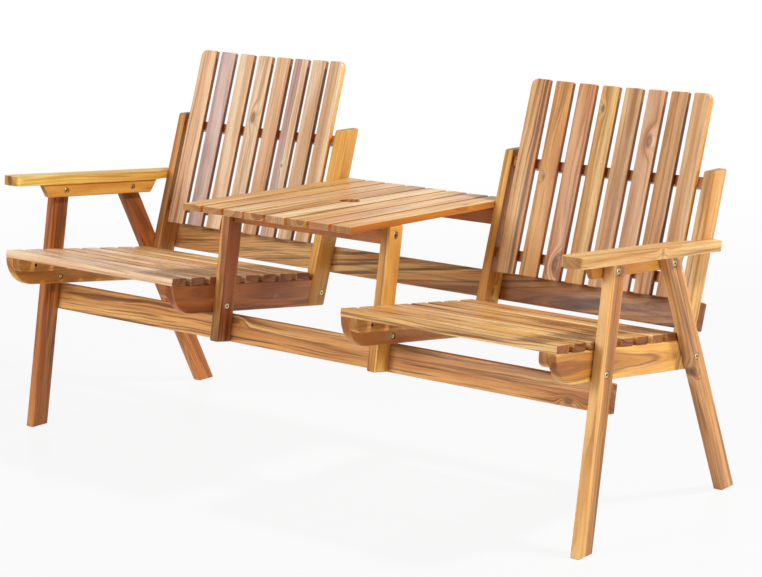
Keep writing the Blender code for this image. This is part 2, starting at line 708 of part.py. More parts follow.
def make_arm(side, sign, bench):
    """An arm, which tapers to pass outside the stile, and the support under it."""
    outer = LEG_OUTSIDE + ARM_OVERHANG
    inner = outer - ARM_WIDTH
    past_stile = OUTER_STILE + FIT
    stile_front = STILE_FRONT_LINE.meet(ARM_LINE)[0]
    front = ARM_LINE.at_depth(ARM_FRONT)
    rear = ARM_LINE.at_depth(ARM_REAR)
    taper_end = ARM_LINE.at_depth(stile_front) - ARM_THICKNESS / 2
    outline = [
        *arc((inner + ARM_FRONT_CORNER, front + ARM_FRONT_CORNER), ARM_FRONT_CORNER, 180, 270),
        *arc((outer - ARM_FRONT_CORNER, front + ARM_FRONT_CORNER), ARM_FRONT_CORNER, 270, 360),
        *arc((outer - ARM_REAR_CORNER, rear - ARM_REAR_CORNER), ARM_REAR_CORNER, 0, 90),
        (past_stile, rear),
        (past_stile, taper_end),
        (inner, taper_end - ARM_TAPER),
    ]
    if sign < 0:
        outline = [(-x, y) for x, y in reversed(outline)]
    name = f"arm_{side}"
    arm = add_part(name, flat_mesh(name, outline, ARM_THICKNESS), bench)
    middle = ARM_LINE.moved(-ARM_THICKNESS / 2)
    arm.location = (0, middle.y, middle.z)
    arm.rotation_euler = (-ARM_FALL, 0, 0)
    ease_edges(arm)

    top = ARM_LINE.moved(FIT)
    bottom = ARM_LINE.moved(FIT + ARM_SUPPORT_HEIGHT)
    support_front = ARM_LINE.at_depth(ARM_SUPPORT_FRONT)
    support_rear = ARM_LINE.at_depth(ARM_SUPPORT_REAR)
    outline = [
        top.point(support_front),
        bottom.point(support_front + ARM_SUPPORT_SLANT),
        bottom.point(support_rear - ARM_SUPPORT_SLANT),
        top.point(support_rear),
    ]
    face = LEG_INSIDE - FIT
    x = face - ARM_SUPPORT_THICKNESS / 2
    side_board(f"arm_support_{side}", outline, ARM_SUPPORT_THICKNESS, sign * x, bench)

    inner_face = face - ARM_SUPPORT_THICKNESS
    middle = ARM_LINE.moved(FIT + ARM_SUPPORT_HEIGHT / 2)
    for leg, line in (("front_leg", LEG_MIDDLE), ("rear_leg", REAR_LEG_MIDDLE)):
        boards = [f"{leg}_{side}", f"arm_support_{side}"]
        place = line.meet(middle)
        through_bolt(f"{leg}_upper_bolt_{side}", place, sign * LEG_OUTSIDE, sign * inner_face, boards, bench)


def make_long_rails(bench):
    """The front stretcher and the rear rail, which tie both chairs together."""
    rails = (
        (
            "front_stretcher",
            LEG_REAR_LINE,
            STRETCHER_BOTTOM,
            (LEG_OUTSIDE * 2, STRETCHER_THICKNESS, STRETCHER_HEIGHT),
            FRONT_LEG_LEAN,
        ),
        (
            "rear_rail",
            STILE_REAR_LINE,
            REAR_RAIL_BOTTOM,
            ((OUTER_STILE + REAR_RAIL_OVERHANG) * 2, REAR_RAIL_THICKNESS, REAR_RAIL_HEIGHT),
            BACK_LEAN,
        ),
    )
    for name, line, bottom, size, lean in rails:
        thickness, height = size[1:]
        place = line.moved(FIT + thickness / 2).point(line.at_height(bottom) + height / 2)
        bar(name, size, (0, *place), -lean, bench)


def make_table(bench):
    """The table slats and the two bearers that carry them, glued into one top."""
    hole_centre = TABLE_LENGTH / 2
    top = frame_empty("table", (0, *TABLE_LINE.point(TABLE_FRONT)), (-TABLE_FALL, 0, 0), bench)
    boards = []
    bearers = (
        ("front", FRONT_BEARER_PLACE, POST_INSIDE, POST_OUTSIDE, "table_post_{0}", 1),
        ("rear", REAR_BEARER_PLACE, INNER_STILE, SEAT_INSIDE, "back_stile_{0}_inner", -1),
    )
    for level, place, end, far_face, board, out in bearers:
        size = ((end - FIT) * 2, BEARER_THICKNESS, BEARER_HEIGHT)
        boards.append(bar(f"{level}_bearer", size, (0, *place), -TABLE_FALL, bench, eased=False))
        axis = Vector((0, TABLE_LINE.dy, TABLE_LINE.dz)) * out
        for side, sign in SIDES:
            barrel_nut_bolt(
                f"table_{level}_bolt_{side}",
                place,
                sign * far_face,
                sign * (end - FIT),
                "table_top",
                [board.format(side)],
                axis,
                BEARER_THICKNESS,
                bench,
            )

    size = (TABLE_SLAT_WIDTH, TABLE_LENGTH, TABLE_SLAT_THICKNESS)
    for i in range(TABLE_SLATS):
        x = (i - (TABLE_SLATS - 1) / 2) * TABLE_SLAT_PITCH
        boards.append(bar(f"table_slat_{i}", size, (x, hole_centre, -TABLE_SLAT_THICKNESS / 2), 0, top))
    bpy.context.view_layer.update()
    circle = arc((0, hole_centre), PARASOL_HOLE_RADIUS, 0, 360, PARASOL_HOLE_STEPS * 2)
    hole = flat_mesh("parasol_hole", circle[:-1], TABLE_SLAT_THICKNESS + OVERRUN)
    hole.transform(Matrix.Translation((0, 0, -TABLE_SLAT_THICKNESS / 2)))
    hole.transform(bench.matrix_world.inverted() @ top.matrix_world)
    open_hole(hole, ["table_top"])
    glued_panel("table_top", boards, bench)


def fix_seat(side, sign, bench):
    """Bolts that hold one seat in the frame."""
    bolt_line = SEAT_RAIL_UNDERSIDE.moved(-(SEAT_RAIL_HEIGHT - BATTEN_HEIGHT) / 2)
    leg_place = LEG_MIDDLE.meet(bolt_line)
    post_place = POST_MIDDLE.meet(bolt_line)
    leg_boards = [f"front_leg_{side}", f"seat_side_rail_{side}_outer"]
    post_boards = [f"table_post_{side}", f"seat_side_rail_{side}_inner"]
    name = f"front_leg_lower_bolt_{side}"
    through_bolt(name, leg_place, sign * LEG_OUTSIDE, sign * SEAT_OUTSIDE, leg_boards, bench)
    name = f"table_post_bolt_{side}"
    through_bolt(name, post_place, sign * POST_INSIDE, sign * SEAT_INSIDE, post_boards, bench)

    across = REAR_RAIL_LINE.square(0)
    axis = Vector((0, -across.dy, -across.dz))
    outer = [f"rear_leg_{side}", f"back_stile_{side}_outer"]
    inner = [f"back_stile_{side}_inner"]
    ends = (
        (f"rear_leg_lower_bolt_{side}", LEG_OUTSIDE, SEAT_OUTSIDE - FIT, outer),
        (f"back_stile_bolt_{side}", INNER_STILE, SEAT_INSIDE + FIT, inner),
    )
    for name, head, rail_end, boards in ends:
        barrel_nut_bolt(
            name,
            SEAT_REAR_RAIL_PLACE,
            sign * head,
            sign * rail_end,
            f"seat_panel_{side}",
            boards,
            axis,
            SEAT_REAR_RAIL_THICKNESS,
            bench,
        )


def cut_holes(bench):
    """Cut each board's holes."""
    for name, shapes in holes.items():
        for shape in shapes:
            cutter = bpy.data.objects.new(f"{shape.name}_in_{name}", shape)
            cutters.objects.link(cutter)
            cutter.parent = bench
            cutter.hide_render = True
            cutter.display_type = "WIRE"
            cut = bpy.data.objects[name].modifiers.new("Hole", "BOOLEAN")
            cut.operation = "DIFFERENCE"
            cut.solver = "EXACT"
            cut.object = cutter


def main():
    """Build the bench."""
    clear_scene()
    bench = frame_empty("bench", (0, -DEPTH_CENTRE, 0), (0, 0, 0), None)
    bpy.context.view_layer.update()
    make_legs(bench)
    make_side_frames(bench)
    for side, sign in SIDES:
        make_seat_panel(side, sign, bench)
        make_back(side, sign, bench)
        make_arm(side, sign, bench)
        fix_seat(side, sign, bench)
    make_long_rails(bench)
    make_table(bench)
    cut_holes(bench)


main()
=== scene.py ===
"""Looks of the garden bench with table: oiled acacia boards, plated bolts and dark screws."""
import logging
import math
from dataclasses import dataclass, field, replace
from enum import Enum
from typing import Sequence

import bmesh
import bpy
from mathutils import Matrix, Vector


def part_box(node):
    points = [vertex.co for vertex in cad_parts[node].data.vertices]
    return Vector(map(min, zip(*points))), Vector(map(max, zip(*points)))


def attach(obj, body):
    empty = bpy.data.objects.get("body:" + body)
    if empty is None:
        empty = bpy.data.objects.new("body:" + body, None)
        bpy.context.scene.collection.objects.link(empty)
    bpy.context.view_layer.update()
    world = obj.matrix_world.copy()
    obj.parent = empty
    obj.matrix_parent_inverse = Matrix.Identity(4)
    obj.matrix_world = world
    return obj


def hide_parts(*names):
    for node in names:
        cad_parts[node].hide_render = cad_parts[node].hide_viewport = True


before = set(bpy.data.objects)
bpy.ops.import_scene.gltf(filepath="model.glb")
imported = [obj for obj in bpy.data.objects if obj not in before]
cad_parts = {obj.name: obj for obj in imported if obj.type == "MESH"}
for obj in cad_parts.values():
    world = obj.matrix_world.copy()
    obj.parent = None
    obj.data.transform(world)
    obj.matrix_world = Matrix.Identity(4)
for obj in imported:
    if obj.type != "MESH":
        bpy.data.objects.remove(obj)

log = logging.getLogger("garden_bench")

Tree = bpy.types.NodeTree
Socket = bpy.types.NodeSocket
Piece = bpy.types.Object
BMesh = bmesh.types.BMesh

MM = 0.001
TOUCH = 0.01 * MM  # points nearer than this are one
HERE = Matrix.Identity(4)
BODY = "root"
HANDS = (("left", -1.0), ("right", 1.0))
SIDEWAYS = Vector((1.0, 0.0, 0.0))
BACKWARDS = Vector((0.0, 1.0, 0.0))
UPWARDS = Vector((0.0, 0.0, 1.0))


# Colours and nodes


def linear(colour: str) -> tuple[float, float, float, float]:
    """Turn an sRGB hex colour into the linear colour that a shader socket takes.

    Args:
        colour: the colour as six hex digits after a hash sign.

    Returns:
        Red, green, blue and an alpha of one.
    """
    shares = [int(colour[i : i + 2], 16) / 255 for i in (1, 3, 5)]
    parts = [s / 12.92 if s <= 0.04045 else ((s + 0.055) / 1.055) ** 2.4 for s in shares]
    return (parts[0], parts[1], parts[2], 1.0)


def add(
    tree: Tree,
    kind: str,
    inputs: Sequence[object] | dict[int | str, object] = (),
    out: int | str = 0,
    **settings: object,
) -> Socket:
    """Add a node with its settings and its links.

    Args:
        tree: the node tree that takes the node.
        kind: the node's type, without its ShaderNode prefix.
        inputs: values or output sockets, in the order of the node's inputs or by their index or name.
        out: which output to hand back.
        **settings: the node's own settings.

    Returns:
        One output of the new node.
    """
    node = tree.nodes.new(f"ShaderNode{kind}")
    for name, value in settings.items():
        setattr(node, name, value)
    pairs = inputs.items() if isinstance(inputs, dict) else enumerate(inputs)
    for key, value in pairs:
        if isinstance(value, Socket):
            tree.links.new(value, node.inputs[key])
        elif value is not None:
            node.inputs[key].default_value = value
    return node.outputs[out]


# Settings that several nodes share
TIMES = {"operation": "MULTIPLY"}
PLUS = {"operation": "ADD"}
TIMES_PLUS = {"operation": "MULTIPLY_ADD"}
MINUS = {"operation": "SUBTRACT"}
HIGHER = {"operation": "MAXIMUM"}
UNSIGNED = {"operation": "ABSOLUTE"}
LENGTH = {"out": "Value", "operation": "LENGTH"}
SOFT = {"interpolation_type": "SMOOTHSTEP"}
BLEND = {"data_type": "RGBA"}
TINT = {"data_type": "RGBA", "blend_type": "MULTIPLY"}
COLOUR_OUT = 2  # the colour output of a Mix node


def lay(
    tree: Tree,
    colour: object,
    pattern: Socket,
    ramp: Sequence[float],
    tone: object,
    how: dict[str, str] = BLEND,
) -> Socket:
    """Lay a tone over a colour, as strongly as a pattern says.

    Args:
        tree: the node tree.
        colour: the colour so far.
        pattern: the pattern's value.
        ramp: two levels of the pattern, and then the tone's share at each.
        tone: the tone.
        how: BLEND to paint it on, or TINT to stain with it.

    Returns:
        The new colour.
    """
    share = add(tree, "MapRange", (pattern, *ramp), **SOFT)
    return add(tree, "Mix", {0: share, 6: colour, 7: tone}, COLOUR_OUT, **how)


def apart(tree: Tree, value: Socket, middle: float) -> Socket:
    """How far a value lies from a middle, on either side."""
    return add(tree, "Math", (add(tree, "Math", (value, middle), **MINUS),), **UNSIGNED)


def facing(tree: Tree, way: Vector) -> Socket:
    """How squarely a surface faces a way or its opposite, from zero to one."""
    normal = add(tree, "TexCoord", out="Normal")
    squarely = add(tree, "VectorMath", (normal, way), out="Value", operation="DOT_PRODUCT")
    return add(tree, "Math", (squarely,), **UNSIGNED)


class Wood(Enum):
    """Tones of acacia boards: heartwood, sapwood and the dark streaks."""

    CREAM = ("#f0d3b0", "#f7e2bf", "#a06c42")
    HONEY = ("#e8c090", "#f5d8a4", "#8a5428")
    MAUVE = ("#d6bab0", "#ecd2b4", "#866868")
    PEACH = ("#e8c098", "#f3d4a6", "#8e5234")
    ROSE = ("#dfae80", "#eec494", "#804432")
    SAND = ("#e2b674", "#f3cd8c", "#7a4218")
    TAN = ("#dba86e", "#efc689", "#633828")
    AMBER = ("#d49c50", "#f2c26c", "#6a3616")
    BRONZE = ("#d49c5c", "#efc07a", "#5e2c12")
    RUSSET = ("#bc7640", "#de9e5a", "#4c2410")
    WALNUT = ("#a8703c", "#e0b478", "#46240e")
    GOLD = ("#e4ac54", "#f4c66c", "#8f5820")
    BUTTER = ("#f4ca64", "#fadc80", "#a87230")


@dataclass(frozen=True)
class Grain:
    """A board's own directions: the grain runs along it, and across is its width."""

    centre: Vector
    along: Vector
    across: Vector

    def turn(self) -> Sequence[float]:
        """Work out the turn from the board's own directions to the bench's.

        Returns:
            The turn about X, Y and Z in radians.
        """
        along = self.along.normalized()
        through = along.cross(self.across).normalized()
        return tuple(Matrix((along, through.cross(along), through)).transposed().to_euler("XYZ"))


@dataclass(frozen=True)
class Knot:
    """A knot: its place along and across the board from its middle, and its radius, in millimetres."""

    along: float
    across: float
    radius: float


@dataclass(frozen=True)
class Stripe:
    """A dark stripe along the grain: its place across the board and its width, in millimetres."""

    across: float
    width: float
    share: float  # of the dark streaks' colour


# Tones that the boards' own woods share
WARM_TONE = linear("#cf9c62")
FIBRE_TONE = linear("#b98e68")
PORE_TONE = linear("#9a6c46")
KNOT_TONE = linear("#5a3822")
END_TONE = linear("#a47a4e")

# The stem wanders by some millimetres, in waves of about 600 mm along it and 170 mm across.
WANDER_SCALE = (1.7, 6.0, 6.0)
WANDER_REACH = (0.0, 36.0 * MM, 36.0 * MM)

# Bands that follow the rings, about 16, 9 and 4 mm wide: how many there are in a metre, how often they
# change in a metre of the board, and their detail. Real ring lines are finer than the last and wouldn't
# show in the render.
RING_PATTERNS = ((62.0, 2.2, 2.0), (110.0, 2.6, 2.0), (240.0, 3.4, 3.0))

# Fibres and the short dark pores between them: how many there are in a metre along the board and
# across it, and their detail
FIBRE_PATTERNS = ((13.0, 600.0, 3.0), (60.0, 1300.0, 1.0))

# Ramps for lay: two levels of a pattern, and the share of the tone at each where it is always the same
WARM_BANDS = (0.36, 0.58, 0.5, 0.0)
PALE_BANDS = (0.54, 0.74, 0.0, 0.6)
STREAKS_FROM = (0.53, 0.66)
RING_LINES_FROM = (0.51, 0.62)
FIBRE_SHADE = (0.35, 0.62, 0.18, 0.0)
PORES_FROM = (0.60, 0.74)
PORE_SHARE = 0.28
SQUARELY = (0.6, 0.9)
END_SHARE = 0.7
SAP_BLUR = 1.2 * MM  # on each side of the heartwood's edge
SAP_LINE = (0.0, 2.0 * MM, 0.6, 0.0)
STRIPE_CORE, STRIPE_REACH = 0.15, 0.65  # of a stripe's width, from its middle

# Knots, in their own radii from the middle: how much the grain's length counts, how far the rings
# bulge and by how much, the paler eye and the dark rim
KNOT_SHAPE = (0.5, 1.0, 0.25)
KNOT_REACH, KNOT_BULGE = 4.5, 3.2
KNOT_EYE = (0.2, 0.7, 0.6, 1.0)
KNOT_RIM = (0.8, 1.9, 0.7, 0.0)

# The oil fills the wood unevenly: it is glossier on dense fibres and dull in the pores.
FIBRE_GLOSS = (0.3, 0.7, 0.46, 0.36)
PORE_SINK = -0.8  # against a fibre's height
BUMP = {"Strength": 0.3, "Distance": 0.4 * MM}


@dataclass(frozen=True)
class OiledAcacia:
    """Oiled acacia: a hardwood with a low warm gloss, whose tone jumps from sapwood to heartwood.

    The growth rings lie round the tree's pith, so a board shows stripes on its faces and arcs on its ends.
    """

    wood: Wood
    seed: float
    pith: tuple[float, float]  # from the board's middle, across and through it, in mm
    sap_from: float  # mm from the pith
    streaks: float  # share of the dark streaks' colour
    drift: tuple[float, float] = (0.0, 0.0)  # of the pith, across and through the board, in mm per metre
    knots: tuple[Knot, ...] = ()
    stripes: tuple[Stripe, ...] = ()
    # Painted light and shade: the faces that face along the bench take a warm tint, for the light and the
    # shade that fall on them.
    painted_side_tone: str = "#fcdc90"  # tints the faces that face along the bench
    painted_side_share: float = 0.35

    def material(self, name: str, grain: Grain) -> bpy.types.Material:
        """Make the board's own material.

        Args:
            name: the material's name.
            grain: the board's own directions.

        Returns:
            The new material.
        """
        material = bpy.data.materials.new(name)
        material.use_nodes = True
        tree = material.node_tree
        shader = tree.nodes["Principled BSDF"]
        place = add(tree, "TexCoord", out="Object")
        own_frame = {"Vector": place, "Location": grain.centre, "Rotation": grain.turn()}
        board = add(tree, "Mapping", own_frame, vector_type="TEXTURE")
        grown = self.grown(tree, board)
        radius, marks = self.round_knots(tree, grown, self.ring_radius(tree, grown))
        colour = self.ring_colour(tree, grown, radius)

        grained = []
        for along, across, detail in FIBRE_PATTERNS:
            stretched = add(tree, "VectorMath", (board, (along, across, across)), **TIMES)
            grained.append(add(tree, "TexNoise", (stretched, None, 1.0, detail)))
        fibre, pores = grained
        colour = lay(tree, colour, fibre, FIBRE_SHADE, FIBRE_TONE, TINT)
        colour = lay(tree, colour, pores, (*PORES_FROM, 0.0, PORE_SHARE), PORE_TONE, TINT)
        for mark in marks:
            colour = add(tree, "Mix", {0: mark, 6: colour, 7: KNOT_TONE}, COLOUR_OUT, **BLEND)
        # The cut ends of the fibres take up more oil and look darker.
        ends = facing(tree, grain.along.normalized())
        colour = lay(tree, colour, ends, (*SQUARELY, 0.0, END_SHARE), END_TONE, TINT)
        # Painted light and shade: a warm tint on the faces that face along the bench.
        sides = facing(tree, SIDEWAYS)
        colour = lay(tree, colour, sides, (*SQUARELY, 0.0, self.painted_side_share), linear(self.painted_side_tone), TINT)
        tree.links.new(colour, shader.inputs["Base Color"])

        gloss = add(tree, "MapRange", (fibre, *FIBRE_GLOSS), **SOFT)
        tree.links.new(gloss, shader.inputs["Roughness"])
        shader.inputs["IOR"].default_value = 1.48
        shader.inputs["Specular IOR Level"].default_value = 0.32
        sunk = add(tree, "MapRange", (pores, *PORES_FROM, 0.0, PORE_SINK), **SOFT)
        height = add(tree, "Math", (fibre, sunk), **PLUS)
        tree.links.new(add(tree, "Bump", {**BUMP, "Height": height}), shader.inputs["Normal"])
        return material

    def grown(self, tree: Tree, board: Socket) -> Socket:
        """Bend the board's straight directions the way that the stem grew.

        Args:
            tree: the node tree.
            board: places in the board's own directions.

        Returns:
            The same places in the stem.
        """
        start = (self.seed * 7.3, self.seed * 3.1, 0.0)
        slow = add(tree, "VectorMath", (board, WANDER_SCALE, start), **TIMES_PLUS)
        noise = add(tree, "TexNoise", (slow, None, 1.0, 4.0), out="Color")
        wander = add(tree, "VectorMath", (noise, (0.5, 0.5, 0.5)), **MINUS)
        return add(tree, "VectorMath", (wander, WANDER_REACH, board), **TIMES_PLUS)

    def ring_radius(self, tree: Tree, grown: Socket) -> Socket:
        """Measure how far the wood lies from the pith.

        Args:
            tree: the node tree.
            grown: places in the stem.

        Returns:
            The distance in metres.
        """
        lengthwise = add(tree, "SeparateXYZ", (grown,))
        drift = Vector((0.0, *self.drift)) * MM
        pith = add(tree, "VectorMath", (lengthwise, drift, Vector((0.0, *self.pith)) * MM), **TIMES_PLUS)
        from_pith = add(tree, "VectorMath", (grown, pith), **MINUS)
        section = add(tree, "VectorMath", (from_pith, (0.0, 1.0, 1.0)), **TIMES)
        return add(tree, "VectorMath", (section,), **LENGTH)

    def round_knots(self, tree: Tree, grown: Socket, radius: Socket) -> tuple[Socket, list[Socket]]:
        """Let the rings bulge round each knot, which has a dark rim and a paler eye.

        Args:
            tree: the node tree.
            grown: places in the stem.
            radius: the distance from the pith.

        Returns:
            The new distance, and the share of each knot's tone.
        """
        marks = []
        for knot in self.knots:
            size = knot.radius * MM
            offset = add(tree, "VectorMath", (grown, (knot.along * MM, knot.across * MM, 0.0)), **MINUS)
            oval = add(tree, "VectorMath", (offset, Vector(KNOT_SHAPE) / size), **TIMES)
            away = add(tree, "VectorMath", (oval,), **LENGTH)
            bulge = add(tree, "MapRange", (away, 0.0, KNOT_REACH, size * KNOT_BULGE, 0.0), **SOFT)
            radius = add(tree, "Math", (radius, bulge), **PLUS)
            eye = add(tree, "MapRange", (away, *KNOT_EYE), **SOFT)
            rim = add(tree, "MapRange", (away, *KNOT_RIM), **SOFT)
            marks.append(add(tree, "Math", (eye, rim), **TIMES))
        return radius, marks

    def ring_colour(self, tree: Tree, grown: Socket, radius: Socket) -> Socket:
        """Colour the rings, the streaks that follow them, the sapwood and the board's stripes.

        Args:
            tree: the node tree.
            grown: places in the stem.
            radius: the distance from the pith.

        Returns:
            The colour.
        """
        lengthwise = add(tree, "SeparateXYZ", (grown,))
        bands = []
        for per_metre, changes, detail in RING_PATTERNS:
            outwards = add(tree, "Math", (radius, per_metre), **TIMES)
            onwards = add(tree, "Math", (lengthwise, changes), **TIMES)
            point = add(tree, "CombineXYZ", (outwards, onwards, self.seed * 1.7 + changes * 9.0))
            bands.append(add(tree, "TexNoise", (point, None, 1.0, detail)))
        broad, streak, fine = bands

        # Sapwood and heartwood meet at a dark line, which is laid on last.
        edge = self.sap_from * MM
        heart, sap, deep = (linear(tone) for tone in self.wood.value)
        colour = lay(tree, heart, radius, (edge - SAP_BLUR, edge + SAP_BLUR, 0.0, 1.0), sap)
        colour = lay(tree, colour, broad, WARM_BANDS, WARM_TONE, TINT)
        colour = lay(tree, colour, broad, PALE_BANDS, sap)
        colour = lay(tree, colour, streak, (*STREAKS_FROM, 0.0, self.streaks), deep)
        # Ring lines stand out more on streaky boards.
        colour = lay(tree, colour, fine, (*RING_LINES_FROM, 0.0, 0.1 + 0.75 * self.streaks**2), deep)
        crosswise = add(tree, "SeparateXYZ", (grown,), "Y")
        for stripe in self.stripes:
            core, reach = (stripe.width * MM * share for share in (STRIPE_CORE, STRIPE_REACH))
            beside = apart(tree, crosswise, stripe.across * MM)
            colour = lay(tree, colour, beside, (core, reach, stripe.share, 0.0), deep)
        return lay(tree, colour, apart(tree, radius, edge), SAP_LINE, deep)


@dataclass(frozen=True)
class Metal:
    """A plated or blackened steel, whose colour and gloss vary in clouds of two to three millimetres."""

    name: str
    colour: str
    shade: str
    roughness: float
    clouds: float = 420.0  # in a metre
    cloud_roughness: float = 0.06  # how much rougher or smoother a cloud is

    def material(self) -> bpy.types.Material:
        """Make the metal's material, or find it when it is already made.

        Returns:
            The material.
        """
        known = bpy.data.materials.get(self.name)
        if known:
            return known
        material = bpy.data.materials.new(self.name)
        material.use_nodes = True
        tree = material.node_tree
        shader = tree.nodes["Principled BSDF"]
        place = add(tree, "TexCoord", out="Object")
        cloud = add(tree, "TexNoise", (place, None, self.clouds, 3.0))
        tones = {0: cloud, 6: linear(self.colour), 7: linear(self.shade)}
        tree.links.new(add(tree, "Mix", tones, COLOUR_OUT, **BLEND), shader.inputs["Base Color"])
        smoothest = self.roughness - self.cloud_roughness
        roughest = self.roughness + self.cloud_roughness
        rough = add(tree, "MapRange", (cloud, 0.3, 0.7, smoothest, roughest), **SOFT)
        tree.links.new(rough, shader.inputs["Roughness"])
        shader.inputs["Metallic"].default_value = 1.0
        return material


# Yellow passivated zinc on steel: a pale brass gloss with a greenish tint.
YELLOW_ZINC = Metal("yellow_passivated_zinc", "#dcd8a8", "#b5a768", 0.22)
# Black phosphated steel: a dull dark grey, for the wood screws, and as painted shade in the recesses of the
# bolts' heads and nuts.
BLACK_STEEL_AND_RECESS_SHADE = Metal("black_steel_and_recess_shade", "#3a3532", "#24201e", 0.5)


# Workbench


def piece_from(name: str, work: BMesh) -> Piece:
    """Put a bmesh in the scene as an object of its own.

    Args:
        name: the piece's name.
        work: the finished bmesh, which is freed.

    Returns:
        The new object.
    """
    bmesh.ops.recalc_face_normals(work, faces=work.faces)
    mesh = bpy.data.meshes.new(name)
    work.to_mesh(mesh)
    work.free()
    piece = bpy.data.objects.new(name, mesh)
    bpy.context.scene.collection.objects.link(piece)
    return piece


def rod(radius: float, length: float, sides: int, place: Matrix = HERE, foot: float | None = None) -> BMesh:
    """Make a closed cylinder along local Z.

    Args:
        radius: its radius.
        length: its length.
        sides: the faces round it.
        place: where its middle lies and how it is turned.
        foot: the radius at its lower end, if that is another one.

    Returns:
        A new bmesh.
    """
    work = bmesh.new()
    bmesh.ops.create_cone(
        work,
        cap_ends=True,
        segments=sides,
        radius1=radius if foot is None else foot,
        radius2=radius,
        depth=length,
        matrix=place,
    )
    return work


def block(size: Sequence[float], place: Matrix = HERE) -> BMesh:
    """Make a block of a size, with its middle at a place, as a new bmesh."""
    work = bmesh.new()
    bmesh.ops.create_cube(work, size=1.0, matrix=place @ Matrix.Diagonal((*size, 1.0)))
    return work


def soften(mesh: bpy.types.Mesh, degrees: float = 40.0) -> None:
    """Shade a mesh smooth, with its sharp edges kept."""
    mesh.shade_smooth()
    mesh.set_sharp_from_angle(angle=math.radians(degrees))


METAL_CREASE = 35.0  # degrees, for soften


def round_edges(
    work: BMesh,
    width: float,
    segments: int,
    edges: Sequence[bmesh.types.BMEdge] | None = None,
    degrees: float = 20.0,
) -> None:
    """Round edges with a bevel.

    Args:
        work: the bmesh.
        width: how far the rounding reaches on each side of an edge.
        segments: the faces across the rounding.
        edges: the edges to round, or every edge where two faces meet at more than an angle.
        degrees: that angle.
    """
    if edges is None:
        limit = math.radians(degrees)
        edges = [e for e in work.edges if len(e.link_faces) == 2 and e.calc_face_angle(0.0) > limit]
    bmesh.ops.bevel(
        work,
        geom=edges,
        offset=width,
        offset_type="OFFSET",
        segments=segments,
        profile=0.5,
        affect="EDGES",
        clamp_overlap=True,
        material=-1,
    )


def flatten(work: BMesh) -> None:
    """Merge doubled points and dissolve the edges inside flat faces."""
    bmesh.ops.remove_doubles(work, verts=work.verts, dist=TOUCH)
    bmesh.ops.dissolve_limit(work, angle_limit=math.radians(0.6), verts=work.verts, edges=work.edges)


def cut_with(piece: Piece, tools: Sequence[Piece]) -> None:
    """Cut a piece's mesh with other objects.

    Args:
        piece: the piece.
        tools: the cutting objects, which are removed.
    """
    for tool in tools:
        step = piece.modifiers.new("Cut", "BOOLEAN")
        step.operation = "DIFFERENCE"
        step.solver = "EXACT"
        step.object = tool
    bpy.context.view_layer.update()
    graph = bpy.context.evaluated_depsgraph_get()
    cut = bpy.data.meshes.new_from_object(piece.evaluated_get(graph))
    piece.modifiers.clear()
    piece.data = cut
    for tool in tools:
        bpy.data.objects.remove(tool, do_unlink=True)


def aim(place: Vector, way: Vector) -> Matrix:
    """The transform that puts the local origin at a place and local Z along a way."""
    return Matrix.Translation(place) @ UPWARDS.rotation_difference(way).to_matrix().to_4x4()


def turned(along: Vector, across: Vector) -> Matrix:
    """The turn whose local X is along, local Y is across and local Z is square to both."""
    return Matrix((along, across, along.cross(across))).transposed().to_4x4()


def points_of(node: str) -> list[Vector]:
    """The corners of a CAD node's mesh."""
    return [v.co.copy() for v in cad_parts[node].data.vertices]


def halfway(values: Sequence[float]) -> float:
    """The middle between the least and the greatest of some values."""
    return (min(values) + max(values)) / 2.0


def middle_of(node: str) -> Vector:
    """The middle of a CAD node's box."""
    low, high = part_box(node)
    return (low + high) / 2.0


def face_middle(node: str, way: Vector) -> Vector:
    """The middle of a CAD node, moved along a way to the node's outermost point there."""
    middle = middle_of(node)
    return middle + way * max((p - middle).dot(way) for p in points_of(node))


def join_bench(piece: Piece, node: str) -> None:
    """Let a finished piece ride on the bench in place of its CAD node.

    Args:
        piece: the piece.
        node: the CAD node that it stands for, whole or in part.
    """
    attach(piece, BODY)
    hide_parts(node)
    log.info("%s is in place of %s", piece.name, node)


@dataclass(frozen=True)
class Bore:
    """A round pocket in a board's face: its middle and the way into the wood."""

    centre: Vector
    inwards: Vector
    radius: float = 8.2 * MM
    depth: float = 3.8 * MM
    sides: int = 48
    room: float = 6.0 * MM  # from the wood's face back to the drill's other end

    def drill(self) -> Piece:
        """A drill for cut_with, which starts outside the wood."""
        place = aim(self.centre + self.inwards * (self.depth - self.room) / 2.0, self.inwards)
        return piece_from("drill", rod(self.radius, self.depth + self.room, self.sides, place))


@dataclass(frozen=True)
class Fixing:
    """A kind of fastener head: a turned disc with a recess for its key."""

    radius: float
    height: float
    rim: float  # rounding of the upper edge
    taper: float  # how much smaller the underside's radius is
    recess: float  # half the width of the key's recess
    recess_depth: float
    metal: Metal
    cross: bool = False
    blade: float = 0.9 * MM  # the width of a cross recess's slots

    def pattern(self) -> bpy.types.Mesh:
        """Make the head, whose upper face lies in the local XY plane and faces +Z.

        Returns:
            A mesh that stamp copies.
        """
        sunk = Matrix.Translation((0.0, 0.0, -self.height / 2.0))
        work = rod(self.radius, self.height, 40, sunk, self.radius - self.taper)
        rim = [e for e in work.edges if all(v.co.z > -TOUCH for v in e.verts)]
        round_edges(work, self.rim, 3, rim)
        head = piece_from("head", work)
        cut_with(head, self.key_tools())
        mesh = head.data
        bpy.data.objects.remove(head, do_unlink=True)
        # Painted shade: the recess is dark steel inside.
        for face in mesh.polygons:
            within = face.center.xy.length < self.recess * 1.05
            face.material_index = int(within and -self.height < face.center.z < -0.05 * MM)
        return mesh

    def key_tools(self) -> list[Piece]:
        """Make the shape of the key: a hexagon, or a cross of two blades.

        Returns:
            Cutting objects for cut_with.
        """
        deep = self.recess_depth * 2.0
        if not self.cross:
            return [piece_from("key", rod(self.recess, deep, 6))]
        wide = self.recess * 2.0
        blades = ((wide, self.blade, deep), (self.blade, wide, deep))
        return [piece_from("key", block(size)) for size in blades]


